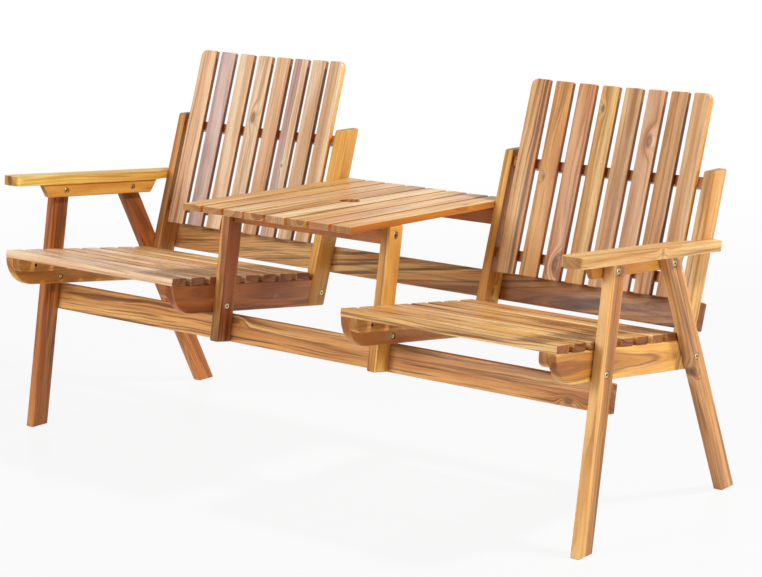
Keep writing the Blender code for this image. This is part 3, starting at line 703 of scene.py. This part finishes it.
def stamp(name: str, fixing: Fixing, places: Sequence[Matrix]) -> Piece:
    """Make one piece of the same fastener head at several places.

    Args:
        name: the piece's name.
        fixing: the kind of head.
        places: a transform for each head.

    Returns:
        The new piece, dressed in the fixing's metal.
    """
    pattern = fixing.pattern()
    work = bmesh.new()
    for place in places:
        known = len(work.verts)
        work.from_mesh(pattern)
        work.verts.ensure_lookup_table()
        bmesh.ops.transform(work, matrix=place, verts=work.verts[known:])
    piece = piece_from(name, work)
    soften(piece.data, METAL_CREASE)
    # The second slot, dark steel, is painted shade in the key's recess.
    for metal in (fixing.metal, BLACK_STEEL_AND_RECESS_SHADE):
        piece.data.materials.append(metal.material())
    return piece


# A button-headed bolt, its sleeve nut and a countersunk cross-slotted wood screw.
BOLT_HEAD = Fixing(7.0 * MM, 2.9 * MM, 1.0 * MM, 0.0, 3.0 * MM, 2.2 * MM, YELLOW_ZINC)
SLEEVE_NUT = Fixing(4.8 * MM, 2.0 * MM, 0.5 * MM, 0.0, 2.3 * MM, 1.2 * MM, YELLOW_ZINC)
WOOD_SCREW = Fixing(3.6 * MM, 1.4 * MM, 0.25 * MM, 0.8 * MM, 2.1 * MM, 0.8 * MM, BLACK_STEEL_AND_RECESS_SHADE, cross=True)


@dataclass
class Hardware:
    """Bolts with their nuts, read from the CAD bolts' places, and wood screws."""

    sink: float = 0.5 * MM  # of a bolt's head under the wood's face
    nut_sink: float = 1.2 * MM
    nut_bore: float = 6.4 * MM
    shank_radius: float = 3.0 * MM
    shank_room: float = 5.0 * MM  # by which the shank is shorter than the bolt
    screw_sink: float = 0.3 * MM
    screw_bore: tuple[float, float] = (3.8 * MM, 1.6 * MM)
    bores: dict[str, list[Bore]] = field(default_factory=dict)

    def place_bolts(self) -> None:
        """Make every bolt, and note the counterbores that each board gets."""
        for hand, sign in HANDS:
            out = SIDEWAYS * sign
            self.bolt(f"front_leg_upper_bolt_{hand}", out, f"front_leg_{hand}", f"arm_support_{hand}")
            side_rail = f"seat_side_rail_{hand}"
            self.bolt(f"front_leg_lower_bolt_{hand}", out, f"front_leg_{hand}", f"{side_rail}_outer")
            self.bolt(f"rear_leg_upper_bolt_{hand}", out, f"rear_leg_{hand}", f"arm_support_{hand}")
            self.bolt(f"rear_leg_lower_bolt_{hand}", out, f"rear_leg_{hand}")
            self.bolt(f"table_post_bolt_{hand}", -out, f"table_post_{hand}", f"{side_rail}_inner")
            self.bolt(f"back_stile_bolt_{hand}", -out, f"back_stile_{hand}_inner")
            self.bolt(f"table_front_bolt_{hand}", out, f"table_post_{hand}")
            self.bolt(f"table_rear_bolt_{hand}", out, f"back_stile_{hand}_inner")

    def bolt(self, name: str, out: Vector, head_board: str, nut_board: str | None = None) -> None:
        """Make one bolt.

        Args:
            name: the bolt's CAD node.
            out: the way from the wood to its head.
            head_board: the node of the board that its head sits in.
            nut_board: the node of the board that its nut shows on, if one does.
        """
        low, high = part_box(name)
        head_x, tail_x = (high.x, low.x) if out.x > 0.0 else (low.x, high.x)
        end = [p for p in points_of(name) if abs(p.x - head_x) < 0.1 * MM]
        centre = Vector((head_x, halfway([p.y for p in end]), halfway([p.z for p in end])))
        tail = Vector((tail_x, centre.y, centre.z))
        self.bores.setdefault(head_board, []).append(Bore(centre + out * self.sink, -out))
        join_bench(stamp(f"{name}_head", BOLT_HEAD, [aim(centre, out)]), name)
        if nut_board:
            face = tail - out * self.sink
            self.bores.setdefault(nut_board, []).append(Bore(face, out, self.nut_bore))
            join_bench(stamp(f"{name}_nut", SLEEVE_NUT, [aim(face + out * self.nut_sink, -out)]), name)
        self.shank(name, centre, tail)

    def shank(self, name: str, head: Vector, tail: Vector) -> None:
        """Make the shank between a bolt's head and its end, which the wood hides.

        Args:
            name: the bolt's CAD node.
            head: the middle of the head's face.
            tail: the bolt's other end.
        """
        length = (tail - head).length - self.shank_room
        work = rod(self.shank_radius, length, 20, aim((head + tail) / 2.0, (tail - head).normalized()))
        round_edges(work, 0.5 * MM, 2)
        piece = piece_from(f"{name}_shank", work)
        soften(piece.data, METAL_CREASE)
        piece.data.materials.append(YELLOW_ZINC.material())
        join_bench(piece, name)

    def screws(self, board: str, node: str, places: Sequence[Vector], out: Vector) -> list[Bore]:
        """Make a board's screws, and return the pockets that their heads sit in.

        Args:
            board: the name of the board or group, for the screws' name.
            node: the CAD node that the screws belong to.
            places: where each screw enters the wood's face.
            out: the direction that the heads face.

        Returns:
            One pocket for each screw.
        """
        heads = [aim(p - out * self.screw_sink, out) for p in places]
        join_bench(stamp(f"{board}_screws", WOOD_SCREW, heads), node)
        return [Bore(p, -out, *self.screw_bore) for p in places]


@dataclass(frozen=True)
class Rounding:
    """How a board's edges are rounded: how wide, in how many faces, and from which angle on."""

    width: float
    segments: int
    degrees: float = 20.0


SLIGHT = Rounding(0.7 * MM, 2)
FULL = Rounding(1.8 * MM, 4)
ROUND_FRONT = Rounding(1.0 * MM, 2, 35.0)  # leaves the steps of a batten's round front alone


def finish_board(
    piece: Piece, node: str, finish: OiledAcacia, grain: Grain, edge: Rounding, bores: Sequence[Bore] = ()
) -> None:
    """Drill a board, round its edges, and give it its wood and its place on the bench.

    Args:
        piece: the board.
        node: the CAD node that it stands for.
        finish: the board's wood.
        grain: the board's own directions.
        edge: how its edges are rounded.
        bores: the pockets or holes in it.
    """
    if bores:
        cut_with(piece, [bore.drill() for bore in bores])
    work = bmesh.new()
    work.from_mesh(piece.data)
    flatten(work)
    round_edges(work, edge.width, edge.segments, degrees=edge.degrees)
    work.to_mesh(piece.data)
    work.free()
    soften(piece.data)
    piece.data.materials.append(finish.material(f"{piece.name.removesuffix('_board')}_acacia", grain))
    join_bench(piece, node)


def dress_node(
    node: str, finish: OiledAcacia, along: Vector, across: Vector, bores: Sequence[Bore] = ()
) -> None:
    """Put a copy of a CAD board in its place, with round counterbores and softly rounded edges.

    Args:
        node: the CAD node.
        finish: the board's wood.
        along: the way of its grain.
        across: the way of its width.
        bores: the pockets in the board.
    """
    work = bmesh.new()
    work.from_mesh(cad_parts[node].data)
    flatten(work)
    piece = piece_from(f"{node}_board", work)
    finish_board(piece, node, finish, Grain(middle_of(node), along, across), SLIGHT, bores)


def box_board(
    name: str,
    size: Sequence[float],
    place: Matrix,
    finish: OiledAcacia,
    node: str,
    bores: Sequence[Bore] = (),
) -> None:
    """Make a straight board with rounded edges that stands for a part of a CAD node.

    Args:
        name: the piece's name.
        size: its length along local X, its width along local Y and its thickness.
        place: where its middle lies and how it is turned; the grain follows local X.
        finish: the board's wood.
        node: the CAD node that it is part of.
        bores: the pockets or holes in it.
    """
    turn = place.to_3x3()
    grain = Grain(place.translation, turn.col[0].copy(), turn.col[1].copy())
    finish_board(piece_from(name, block(size, place)), node, finish, grain, FULL, bores)


# Ways that the boards lie in the side view


def rising(lean: float) -> Vector:
    """The direction of a board that leans back by an angle in degrees."""
    angle = math.radians(lean)
    return Vector((0.0, math.sin(angle), math.cos(angle)))


def receding(fall: float) -> Vector:
    """The direction of a board that runs back and falls by an angle in degrees."""
    angle = math.radians(fall)
    return Vector((0.0, math.cos(angle), -math.sin(angle)))


FRONT_LEG_WAY = rising(8.75)
REAR_LEG_WAY = rising(-28.0)
BACK_WAY = rising(17.6)
SEAT_WAY = receding(6.8)
TABLE_WAY = receding(0.95)
ARM_WAY = receding(4.3)


# Sub-assemblies, each with its boards' woods before it


UPRIGHT_WOODS = (
    ("front_leg_left", FRONT_LEG_WAY, OiledAcacia(Wood.RUSSET, 1, (22, 26), 90, 0.6)),
    ("front_leg_right", FRONT_LEG_WAY, OiledAcacia(Wood.BRONZE, 2, (38, 8), 50, 0.5,
     knots=(Knot(-36, 8, 2.8),), stripes=(Stripe(10, 26, 0.35),))),
    ("rear_leg_left", REAR_LEG_WAY, OiledAcacia(Wood.RUSSET, 3, (12, 30), 52, 0.5, (-90, 0))),
    ("rear_leg_right", REAR_LEG_WAY, OiledAcacia(Wood.TAN, 4, (-40, 20), 88, 0.6,
     knots=(Knot(30, -24, 5),), stripes=(Stripe(-20, 14, 0.4),))),
    ("table_post_left", FRONT_LEG_WAY, OiledAcacia(Wood.RUSSET, 5, (10, -5), 30, 0.7)),
    ("table_post_right", FRONT_LEG_WAY, OiledAcacia(Wood.AMBER, 6, (-20, 30), 40, 0.5,
     knots=(Knot(196, -4, 5),))),
    ("back_stile_left_outer", BACK_WAY, OiledAcacia(Wood.BRONZE, 7, (-20, 38), 90, 0.5)),
    ("back_stile_left_inner", BACK_WAY, OiledAcacia(Wood.GOLD, 8, (10, 30), 90, 0.35, painted_side_share=0.2)),
    ("back_stile_right_outer", BACK_WAY, OiledAcacia(Wood.SAND, 9, (-26, 30), 90, 0.5,
     stripes=(Stripe(-26, 14, 0.55),))),
    ("back_stile_right_inner", BACK_WAY, OiledAcacia(Wood.GOLD, 10, (-26, 30), 52, 0.5,
     knots=(Knot(-114, -4, 4),))),
)


@dataclass
class Uprights:
    """Legs, table posts and stiles. Their grain's across points to the back and its third way to -X."""

    hardware: Hardware

    def build(self) -> None:
        """Dress the upright boards."""
        for node, along, finish in UPRIGHT_WOODS:
            dress_node(node, finish, along, BACKWARDS, self.hardware.bores.get(node, ()))


SIDE_RAIL_WOODS = {
    "seat_side_rail_left_outer": OiledAcacia(Wood.GOLD, 11, (-20, -34), 90, 0.4),
    "seat_side_rail_left_inner": OiledAcacia(Wood.RUSSET, 12, (10, -40), 90, 0.45,
                                             knots=(Knot(-40, 6, 2.6), Knot(110, -4, 2.2))),
    "seat_side_rail_right_outer": OiledAcacia(Wood.AMBER, 13, (-2, 20), 22, 0.5, (0, 70)),
    "seat_side_rail_right_inner": OiledAcacia(Wood.BRONZE, 14, (-16, -34), 80, 0.5),
}
STRETCHER_WOOD = OiledAcacia(Wood.BRONZE, 21, (60, -30), 150, 0.8, (8, 6),
                             knots=(Knot(681, -20, 4.6), Knot(-203, 12, 6)),
                             stripes=(Stripe(20, 12, 0.35), Stripe(-2, 7, 0.3)))
# The pith drifts so that the rail is pale sapwood in the middle and on the left and dark heartwood on the
# right: painted light in the middle, under the table, and painted shade on the right, behind the right seat.
REAR_RAIL_WOOD = OiledAcacia(Wood.WALNUT, 22, (-70, -24), 58, 0.75, (120, 4),
                             stripes=(Stripe(24, 12, 0.25), Stripe(-6, 6, 0.25)))


@dataclass
class Rails:
    """Seat side rails, cross rails, the stretcher and the rear rail."""

    hardware: Hardware
    screw_rows: tuple[float, float] = (-15.0 * MM, 15.0 * MM)  # of the long rails' screws, off their middle
    # How far the boards that the long rails cross stand from the bench's middle
    upright_centres: tuple[float, float] = (765.3 * MM, 220.4 * MM)
    stile_centres: tuple[float, float] = (743.5 * MM, 242.5 * MM)

    def build(self) -> None:
        """Dress the rails."""
        for node, finish in SIDE_RAIL_WOODS.items():
            dress_node(node, finish, SEAT_WAY, UPWARDS, self.hardware.bores.get(node, ()))
        for hand, sign in HANDS:
            for level, seed in (("lower", 15.0), ("upper", 18.0)):
                finish = OiledAcacia(Wood.RUSSET, seed + sign, (18, 40), 90, 0.5)
                dress_node(f"{level}_cross_rail_{hand}", finish, SIDEWAYS, BACKWARDS)
        self.long_rail("front_stretcher", FRONT_LEG_WAY, STRETCHER_WOOD, self.upright_centres)
        self.long_rail("rear_rail", BACK_WAY, REAR_RAIL_WOOD, self.stile_centres)

    def long_rail(self, node: str, across: Vector, finish: OiledAcacia, crossings: Sequence[float]) -> None:
        """Dress a long rail, with two screws from behind at each upright that it crosses.

        Args:
            node: the rail's CAD node.
            across: the way of its height.
            finish: its wood.
            crossings: how far the uprights stand from the bench's middle.
        """
        outwards = across.cross(SIDEWAYS).normalized()
        face = face_middle(node, outwards)
        places = []
        for x in crossings:
            for row in self.screw_rows:
                for _, sign in HANDS:
                    place = face + across * row
                    place.x = x * sign
                    places.append(place)
        pockets = self.hardware.screws(node, node, places, outwards)
        dress_node(node, finish, SIDEWAYS, across, pockets)


# The back slats, from left to right
BACK_WOODS = {
    "left": (
        OiledAcacia(Wood.PEACH, 31, (-60, 24), 130, 0.55),
        OiledAcacia(Wood.MAUVE, 32, (4, 40), 90, 0.4, stripes=(Stripe(14, 14, 0.35),)),
        OiledAcacia(Wood.CREAM, 33, (-30, 34), 90, 0.2),
        OiledAcacia(Wood.CREAM, 34, (30, 30), 90, 0.4, knots=(Knot(66, -3, 6),),
                    stripes=(Stripe(-14, 8, 0.3),)),
        OiledAcacia(Wood.PEACH, 35, (50, 30), 90, 0.4),
        OiledAcacia(Wood.MAUVE, 36, (36, 18), 42, 0.2, knots=(Knot(-44, -6, 2),),
                    stripes=(Stripe(8, 8, 0.3),)),
        OiledAcacia(Wood.CREAM, 37, (34, 26), 90, 0.35, stripes=(Stripe(-16, 12, 0.55),)),
        OiledAcacia(Wood.CREAM, 38, (-40, 38), 110, 0.35),
    ),
    "right": (
        OiledAcacia(Wood.TAN, 51, (34, 22), 90, 0.5, stripes=(Stripe(-17, 10, 0.8), Stripe(-8, 4, 0.4))),
        OiledAcacia(Wood.BRONZE, 52, (-22, 38), 90, 0.55, knots=(Knot(4, 9, 3.4),)),
        OiledAcacia(Wood.ROSE, 53, (14, 26), 90, 0.55, knots=(Knot(-186, -2, 6),),
                    stripes=(Stripe(18, 6, 0.5), Stripe(-14, 5, 0.5))),
        OiledAcacia(Wood.SAND, 54, (-38, 30), 90, 0.35, knots=(Knot(170, 15, 3.6),)),
        OiledAcacia(Wood.HONEY, 55, (-6, 34), 90, 0.45, stripes=(Stripe(-4, 18, 0.65), Stripe(12, 4, 0.4))),
        OiledAcacia(Wood.PEACH, 56, (22, 34), 90, 0.5, knots=(Knot(108, -4, 6),),
                    stripes=(Stripe(10, 24, 0.25),)),
        OiledAcacia(Wood.HONEY, 57, (26, 34), 90, 0.55,
                    stripes=(Stripe(-10, 12, 0.6), Stripe(-19, 5, 0.8), Stripe(7, 5, 0.5))),
        OiledAcacia(Wood.HONEY, 58, (-44, 36), 110, 0.35),
    ),
}


@dataclass
class Backs:
    """Back slats on the hollow curve. Their grain's across points to -X and its third way to the front."""

    # Painted shade on the slats' sides in the narrow gaps, and painted light on the lit side of each chair's
    # last slat.
    gap_painted_shade: tuple[str, float] = ("#b8824a", 0.9)  # of the faces that face a neighbour
    last_painted_light: tuple[str, float] = ("#ffdc80", 0.7)  # of each chair's last slat, whose side is in the light

    def build(self) -> None:
        """Dress the slats, each with its own board."""
        for hand, finishes in BACK_WOODS.items():
            for number, finish in enumerate(finishes, start=1):
                # Each slat's sides take painted shade, and the last slat's side takes painted light.
                tone, share = self.last_painted_light if number == len(finishes) else self.gap_painted_shade
                finish = replace(finish, painted_side_tone=tone, painted_side_share=share)
                dress_node(f"back_slat_{hand}_{number}", finish, BACK_WAY, -SIDEWAYS)


ARM_WOODS = {
    "left": OiledAcacia(Wood.BUTTER, 60, (20, -40), 90, 0.5, knots=(Knot(-286, 0, 5),), painted_side_share=0.1),
    "right": OiledAcacia(Wood.SAND, 62, (30, -40), 90, 0.45, knots=(Knot(20, 30, 3),), painted_side_share=0.1),
}


@dataclass
class Arms:
    """Arms and the supports under them."""

    hardware: Hardware
    support_screws: tuple[float, ...] = (-120.0 * MM, -40.0 * MM, 40.0 * MM, 120.0 * MM)

    def build(self) -> None:
        """Dress the arms and their supports, which are screwed to the arms from below."""
        down = ARM_WAY.cross(SIDEWAYS)
        for hand, sign in HANDS:
            dress_node(f"arm_{hand}", ARM_WOODS[hand], ARM_WAY, SIDEWAYS)
            support = f"arm_support_{hand}"
            places = [face_middle(support, down) + ARM_WAY * run for run in self.support_screws]
            pockets = self.hardware.screws(support, support, places, down)
            finish = OiledAcacia(Wood.GOLD, 64.0 + sign, (10, -40 * sign), 90, 0.4)
            bores = [*self.hardware.bores.get(support, ()), *pockets]
            dress_node(support, finish, ARM_WAY, UPWARDS, bores)


# The seat slats, from front to rear
LEFT_SEAT = (
    Wood.CREAM, Wood.CREAM, Wood.HONEY, Wood.HONEY, Wood.CREAM, Wood.SAND, Wood.HONEY, Wood.SAND,
)
RIGHT_SEAT = (
    Wood.SAND, Wood.AMBER, Wood.SAND, Wood.BRONZE, Wood.SAND, Wood.AMBER, Wood.SAND, Wood.BRONZE,
)


@dataclass
class SeatPanel:
    """A seat: eight slats, two battens with a round front and the rail behind them."""

    hardware: Hardware
    hand: str
    sign: float
    woods: tuple[Wood, ...]
    streaks: float  # of its slats
    slat_width: float = 46.0 * MM
    slat_pitch: float = 62.3 * MM
    slat_thickness: float = 17.0 * MM
    gap: float = 0.3 * MM
    batten_thickness: float = 20.0 * MM
    batten_height: float = 30.5 * MM
    batten_setback: float = 4.0 * MM
    batten_radius: float = 18.0 * MM
    batten_screws: tuple[float, ...] = (55.0 * MM, 177.0 * MM, 297.0 * MM, 417.0 * MM)
    bay: float = 480.0 * MM
    rail_thickness: float = 22.0 * MM
    rail_height: float = 42.0 * MM
    rail_within: float = 90.0 * MM  # of the panel's rear end
    rail_foot: float = 20.0 * MM  # the height over which the rail's rear face is looked for

    def __post_init__(self) -> None:
        """Read the panel's datum points from the CAD node."""
        self.node = f"seat_panel_{self.hand}"
        self.low, self.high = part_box(self.node)
        self.centre_x = (self.low.x + self.high.x) / 2.0
        self.up = SIDEWAYS.cross(SEAT_WAY)
        self.points = points_of(self.node)
        top = max(p.dot(self.up) for p in self.points)
        front = min(p.dot(SEAT_WAY) for p in self.points)
        self.corner = SEAT_WAY * front + self.up * (top - self.slat_thickness)

    def build(self) -> None:
        """Make the boards of the panel. Steps without a common factor scatter the slats' piths."""
        size = (self.high.x - self.low.x, self.slat_width, self.slat_thickness)
        for index, wood in enumerate(self.woods):
            run = index * self.slat_pitch + self.slat_width / 2.0
            middle = self.corner + SEAT_WAY * run + self.up * (self.slat_thickness / 2.0)
            middle.x = self.centre_x
            finish = OiledAcacia(
                wood,
                seed=80.0 + index * 2.1 + self.sign * 9.0,
                pith=(((index * 29) % 44) - 22.0, 20.0 + (index * 17) % 24),
                sap_from=34.0 + (index * 11) % 30,
                streaks=self.streaks,
                drift=(((index * 7) % 5 - 2) * 10.0, 0.0),
                # Painted shade: the slats' cut ends face along the bench and take a darker tint on top of
                # the end grain's own.
                painted_side_tone="#d8ac76",
                painted_side_share=0.8,
            )
            place = Matrix.Translation(middle) @ turned(SIDEWAYS, SEAT_WAY)
            box_board(f"seat_slat_{self.hand}_{index + 1}", size, place, finish, self.node)
        self.build_battens()
        self.build_rail_behind()

    def build_battens(self) -> None:
        """Make the two battens, whose lower front corner is round, with their screws."""
        start = self.corner + SEAT_WAY * self.batten_setback
        length = (self.rail_middle() - start).dot(SEAT_WAY) - self.rail_thickness / 2.0
        height = self.batten_height + self.gap
        for place, side in (("inner", -self.sign), ("outer", self.sign)):
            middle = start + SEAT_WAY * (length / 2.0) - self.up * (height / 2.0)
            middle.x = self.centre_x + side * (self.bay / 2.0 - self.gap - self.batten_thickness / 2.0)
            work = block((length, height, self.batten_thickness))
            nose = [e for e in work.edges if all(v.co.x < 0.0 and v.co.y < 0.0 for v in e.verts)]
            round_edges(work, self.batten_radius, 10, nose)
            turn = Matrix.Translation(middle) @ turned(SEAT_WAY, self.up)
            bmesh.ops.transform(work, matrix=turn, verts=work.verts)
            name = f"seat_batten_{self.hand}_{place}"
            piece = piece_from(name, work)
            inside = SIDEWAYS * -side
            face = middle + inside * self.batten_thickness / 2.0
            places = [face + SEAT_WAY * (run - length / 2.0) for run in self.batten_screws]
            pockets = self.hardware.screws(name, self.node, places, inside)
            finish = OiledAcacia(Wood.AMBER, 101.0 + side * 2.0 + self.sign, (10, 36), 90, 0.5)
            finish_board(piece, self.node, finish, Grain(middle, SEAT_WAY, self.up), ROUND_FRONT, pockets)

    def rail_middle(self) -> Vector:
        """Find the rail behind the seat from the panel's lowest and rearmost points.

        Returns:
            The rail's middle.
        """
        across = BACK_WAY.cross(SIDEWAYS)
        behind = [p for p in self.points if p.y > self.high.y - self.rail_within]
        lowest = min(p.dot(BACK_WAY) for p in behind)
        rearmost = max(p.dot(across) for p in behind if p.dot(BACK_WAY) < lowest + self.rail_foot)
        middle = BACK_WAY * (lowest + self.rail_height / 2.0)
        middle += across * (rearmost - self.rail_thickness / 2.0)
        middle.x = self.centre_x
        return middle

    def build_rail_behind(self) -> None:
        """Make the rail between the stiles, behind the battens."""
        place = Matrix.Translation(self.rail_middle()) @ turned(SIDEWAYS, BACK_WAY)
        size = (self.bay - self.gap * 4.0, self.rail_height, self.rail_thickness)
        finish = OiledAcacia(Wood.BRONZE, 110.0 + self.sign, (14, 38), 90, 0.6)
        box_board(f"seat_rear_rail_{self.hand}", size, place, finish, self.node)


# The table slats, from left to right
TABLE_WOODS = (
    OiledAcacia(Wood.SAND, 130, (-30, 40), 90, 0.35),
    OiledAcacia(Wood.SAND, 132, (10, 34), 90, 0.4),
    OiledAcacia(Wood.HONEY, 134, (24, 28), 90, 0.4),
    OiledAcacia(Wood.SAND, 136, (-8, 12), 14, 0.5),
    OiledAcacia(Wood.HONEY, 138, (20, 4), 16, 0.5, (-20, 0)),
    OiledAcacia(Wood.SAND, 140, (-14, 10), 18, 0.6),
    OiledAcacia(Wood.HONEY, 142, (6, 40), 90, 0.4),
    OiledAcacia(Wood.SAND, 144, (-50, 10), 90, 0.35, knots=(Knot(140, -14, 4),)),
)


@dataclass
class Table:
    """The table top: eight slats, a hole for a parasol pole and two bearers."""

    slat_width: float = 51.0 * MM
    slat_pitch: float = 58.6 * MM
    slat_thickness: float = 15.0 * MM
    hole_radius: float = 24.0 * MM
    bearer_thickness: float = 22.0 * MM
    bearer_height: float = 42.0 * MM
    bearer_seam: float = 0.8 * MM  # between a bearer and the slats
    bearer_foot: float = 4.0 * MM  # the height over which the bearers' undersides are looked for
    bearer_ends: tuple[float, float] = (209.1 * MM, 231.4 * MM)
    up: Vector = field(default_factory=lambda: SIDEWAYS.cross(TABLE_WAY))

    def build(self) -> None:
        """Make the boards of the table."""
        points = points_of("table_top")
        top = max(p.dot(self.up) for p in points)
        front = min(p.dot(TABLE_WAY) for p in points)
        rear = max(p.dot(TABLE_WAY) for p in points)
        middle = TABLE_WAY * (front + rear) / 2.0 + self.up * (top - self.slat_thickness / 2.0)
        size = (rear - front, self.slat_width, self.slat_thickness)
        surface = middle + self.up * self.slat_thickness / 2.0
        hole = Bore(surface, -self.up, self.hole_radius, self.slat_thickness * 2.0, sides=64)
        for index, finish in enumerate(TABLE_WOODS):
            place = middle.copy()
            place.x = (index - (len(TABLE_WOODS) - 1) / 2.0) * self.slat_pitch
            beside = abs(place.x) - self.slat_width / 2.0 < self.hole_radius
            turn = Matrix.Translation(place) @ turned(TABLE_WAY, -SIDEWAYS)
            # Painted light and shade: the slats' sides in the gaps between them take a deep golden tint.
            finish = replace(finish, painted_side_tone="#dca046", painted_side_share=0.9)
            box_board(f"table_slat_{index + 1}", size, turn, finish, "table_top", [hole] if beside else ())
        self.build_bearers(points)

    def build_bearers(self, points: Sequence[Vector]) -> None:
        """Make the two bearers under the lowest points of the table's front and rear halves.

        Args:
            points: the corners of the table top's CAD node.
        """
        lowest = min(p.dot(self.up) for p in points)
        feet = [p.dot(TABLE_WAY) for p in points if p.dot(self.up) < lowest + self.bearer_foot]
        split = halfway(feet)
        halves = ([f for f in feet if f < split], [f for f in feet if f >= split])
        height = self.bearer_height - self.bearer_seam
        for name, found, end in zip(("front", "rear"), halves, self.bearer_ends):
            run = halfway(found)
            near = [p for p in points if abs(p.dot(TABLE_WAY) - run) < self.bearer_thickness]
            base = min(p.dot(self.up) for p in near)
            middle = TABLE_WAY * run + self.up * (base + height / 2.0)
            size = (end * 2.0, height, self.bearer_thickness)
            finish = OiledAcacia(Wood.RUSSET, 150.0 + end, (-12, 40), 90, 0.6)
            place = Matrix.Translation(middle) @ turned(SIDEWAYS, self.up)
            box_board(f"table_{name}_bearer", size, place, finish, "table_top")


def seen_by_camera(tree: Tree) -> Socket:
    """Tell rays from the camera, and those that gloss or glass sends on, from all others.

    Args:
        tree: the node tree.

    Returns:
        One for such a ray, else zero.
    """
    rays = tree.nodes.new("ShaderNodeLightPath")
    seen = add(tree, "Math", (rays.outputs["Is Camera Ray"], rays.outputs["Is Glossy Ray"]), **HIGHER)
    return add(tree, "Math", (seen, rays.outputs["Is Transmission Ray"]), **HIGHER)


@dataclass(frozen=True)
class Lamp:
    """A round soft lamp: its place and its size in metres, and its power in watts."""

    name: str
    place: tuple[float, float, float]
    size: float
    power: float


@dataclass
class Studio:
    """The floor, the light and the camera.

    A small key lamp hangs high on the right, a little behind the bench, and soft ones in front and on
    the right.
    """

    camera_place: tuple[float, float, float] = (2.76365, -3.64638, 1.33371)
    yaw: float = 0.63759  # radians, as pitch and roll
    pitch: float = -0.20885
    roll: float = 0.01597
    lens: float = 97.63
    sensor_width: float = 36.0
    shift: tuple[float, float] = (0.00116, 0.0194)
    sight: float = 60.0  # metres that the camera sees
    floor_size: float = 14.0  # half its width
    fade: tuple[float, float] = (0.8, 5.0)  # metres from the bench, over which the floor turns plain white
    floor_white: float = 0.93  # the share of plain white near the bench
    floor_glow: float = 0.96  # the strength of that white
    lamps: tuple[Lamp, ...] = (
        Lamp("key", (2.45, 0.94, 4.17), 0.6, 160.0),
        Lamp("front", (-1.0, -4.7, 2.2), 2.4, 170.0),
        Lamp("side", (4.6, 0.35, 1.1), 1.2, 55.0),
    )
    lamp_target: tuple[float, float, float] = (0.0, 0.0, 0.4)
    world_light: float = 0.16

    def build(self) -> None:
        """Set up the studio."""
        self.place_camera()
        self.lay_floor()
        self.hang_lamps()
        self.paint_world()
        bpy.context.scene.view_settings.view_transform = "Standard"

    def place_camera(self) -> None:
        """Put the camera where the photograph was taken from."""
        level = Vector((-math.sin(self.yaw), math.cos(self.yaw), 0.0))
        ahead = level * math.cos(self.pitch) + UPWARDS * math.sin(self.pitch)
        right = ahead.cross(UPWARDS).normalized()
        up = right.cross(ahead)
        rolled_right = right * math.cos(self.roll) + up * math.sin(self.roll)
        rolled_up = up * math.cos(self.roll) - right * math.sin(self.roll)
        data = bpy.data.cameras.new("camera")
        data.lens = self.lens
        data.sensor_width = self.sensor_width
        data.shift_x, data.shift_y = self.shift
        data.clip_end = self.sight
        camera = bpy.data.objects.new("camera", data)
        bpy.context.scene.collection.objects.link(camera)
        camera.matrix_world = Matrix.Translation(self.camera_place) @ turned(rolled_right, rolled_up)
        bpy.context.scene.camera = camera

    def lay_floor(self) -> None:
        """Lay a large white floor, glossy enough to mirror the feet a little.

        The camera sees it mostly as plain white, and fully so far from the bench, with some of the
        bench's shadow.
        """
        work = bmesh.new()
        bmesh.ops.create_grid(work, x_segments=1, y_segments=1, size=self.floor_size)
        floor = piece_from("floor", work)
        material = bpy.data.materials.new("white_painted_studio_floor")
        material.use_nodes = True
        tree = material.node_tree
        shader = tree.nodes["Principled BSDF"]
        shader.inputs["Base Color"].default_value = linear("#f0f0f2")
        shader.inputs["Roughness"].default_value = 0.3
        away = add(tree, "VectorMath", (add(tree, "TexCoord", out="Object"),), **LENGTH)
        white = add(tree, "MapRange", (away, *self.fade, self.floor_white, 1.0), **SOFT)
        shown = add(tree, "Math", (white, seen_by_camera(tree)), **TIMES)
        bright = add(tree, "MapRange", (away, *self.fade, self.floor_glow, 1.0), **SOFT)
        glow = add(tree, "Emission", {"Strength": bright})
        mixed = add(tree, "MixShader", (shown, shader.outputs[0], glow))
        tree.links.new(mixed, tree.nodes["Material Output"].inputs["Surface"])
        floor.data.materials.append(material)

    def hang_lamps(self) -> None:
        """Hang the lamps, each turned to the bench."""
        for lamp in self.lamps:
            data = bpy.data.lights.new(lamp.name, "AREA")
            data.shape = "DISK"
            data.size = lamp.size
            data.energy = lamp.power
            hung = bpy.data.objects.new(lamp.name, data)
            bpy.context.scene.collection.objects.link(hung)
            hung.location = lamp.place
            towards = Vector(self.lamp_target) - Vector(lamp.place)
            hung.rotation_euler = towards.to_track_quat("-Z", "Y").to_euler()

    def paint_world(self) -> None:
        """Paint a plain world that lights softly and shows white to the camera and in gloss."""
        world = bpy.data.worlds.new("studio")
        bpy.context.scene.world = world
        world.use_nodes = True
        tree = world.node_tree
        background = tree.nodes["Background"]
        strength = add(tree, "MapRange", (seen_by_camera(tree), 0.0, 1.0, self.world_light, 1.0))
        tree.links.new(strength, background.inputs["Strength"])
        background.inputs["Color"].default_value = (1.0, 1.0, 1.0, 1.0)


def main() -> None:
    """Build the looks in order."""
    logging.basicConfig(level=logging.INFO, format="%(name)s: %(message)s")
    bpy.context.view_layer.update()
    hardware = Hardware()
    hardware.place_bolts()
    Uprights(hardware).build()
    Rails(hardware).build()
    Backs().build()
    Arms(hardware).build()
    SeatPanel(hardware, "left", -1.0, LEFT_SEAT, 0.6).build()
    SeatPanel(hardware, "right", 1.0, RIGHT_SEAT, 0.8).build()
    Table().build()
    Studio().build()


if __name__ == "__main__":
    main()
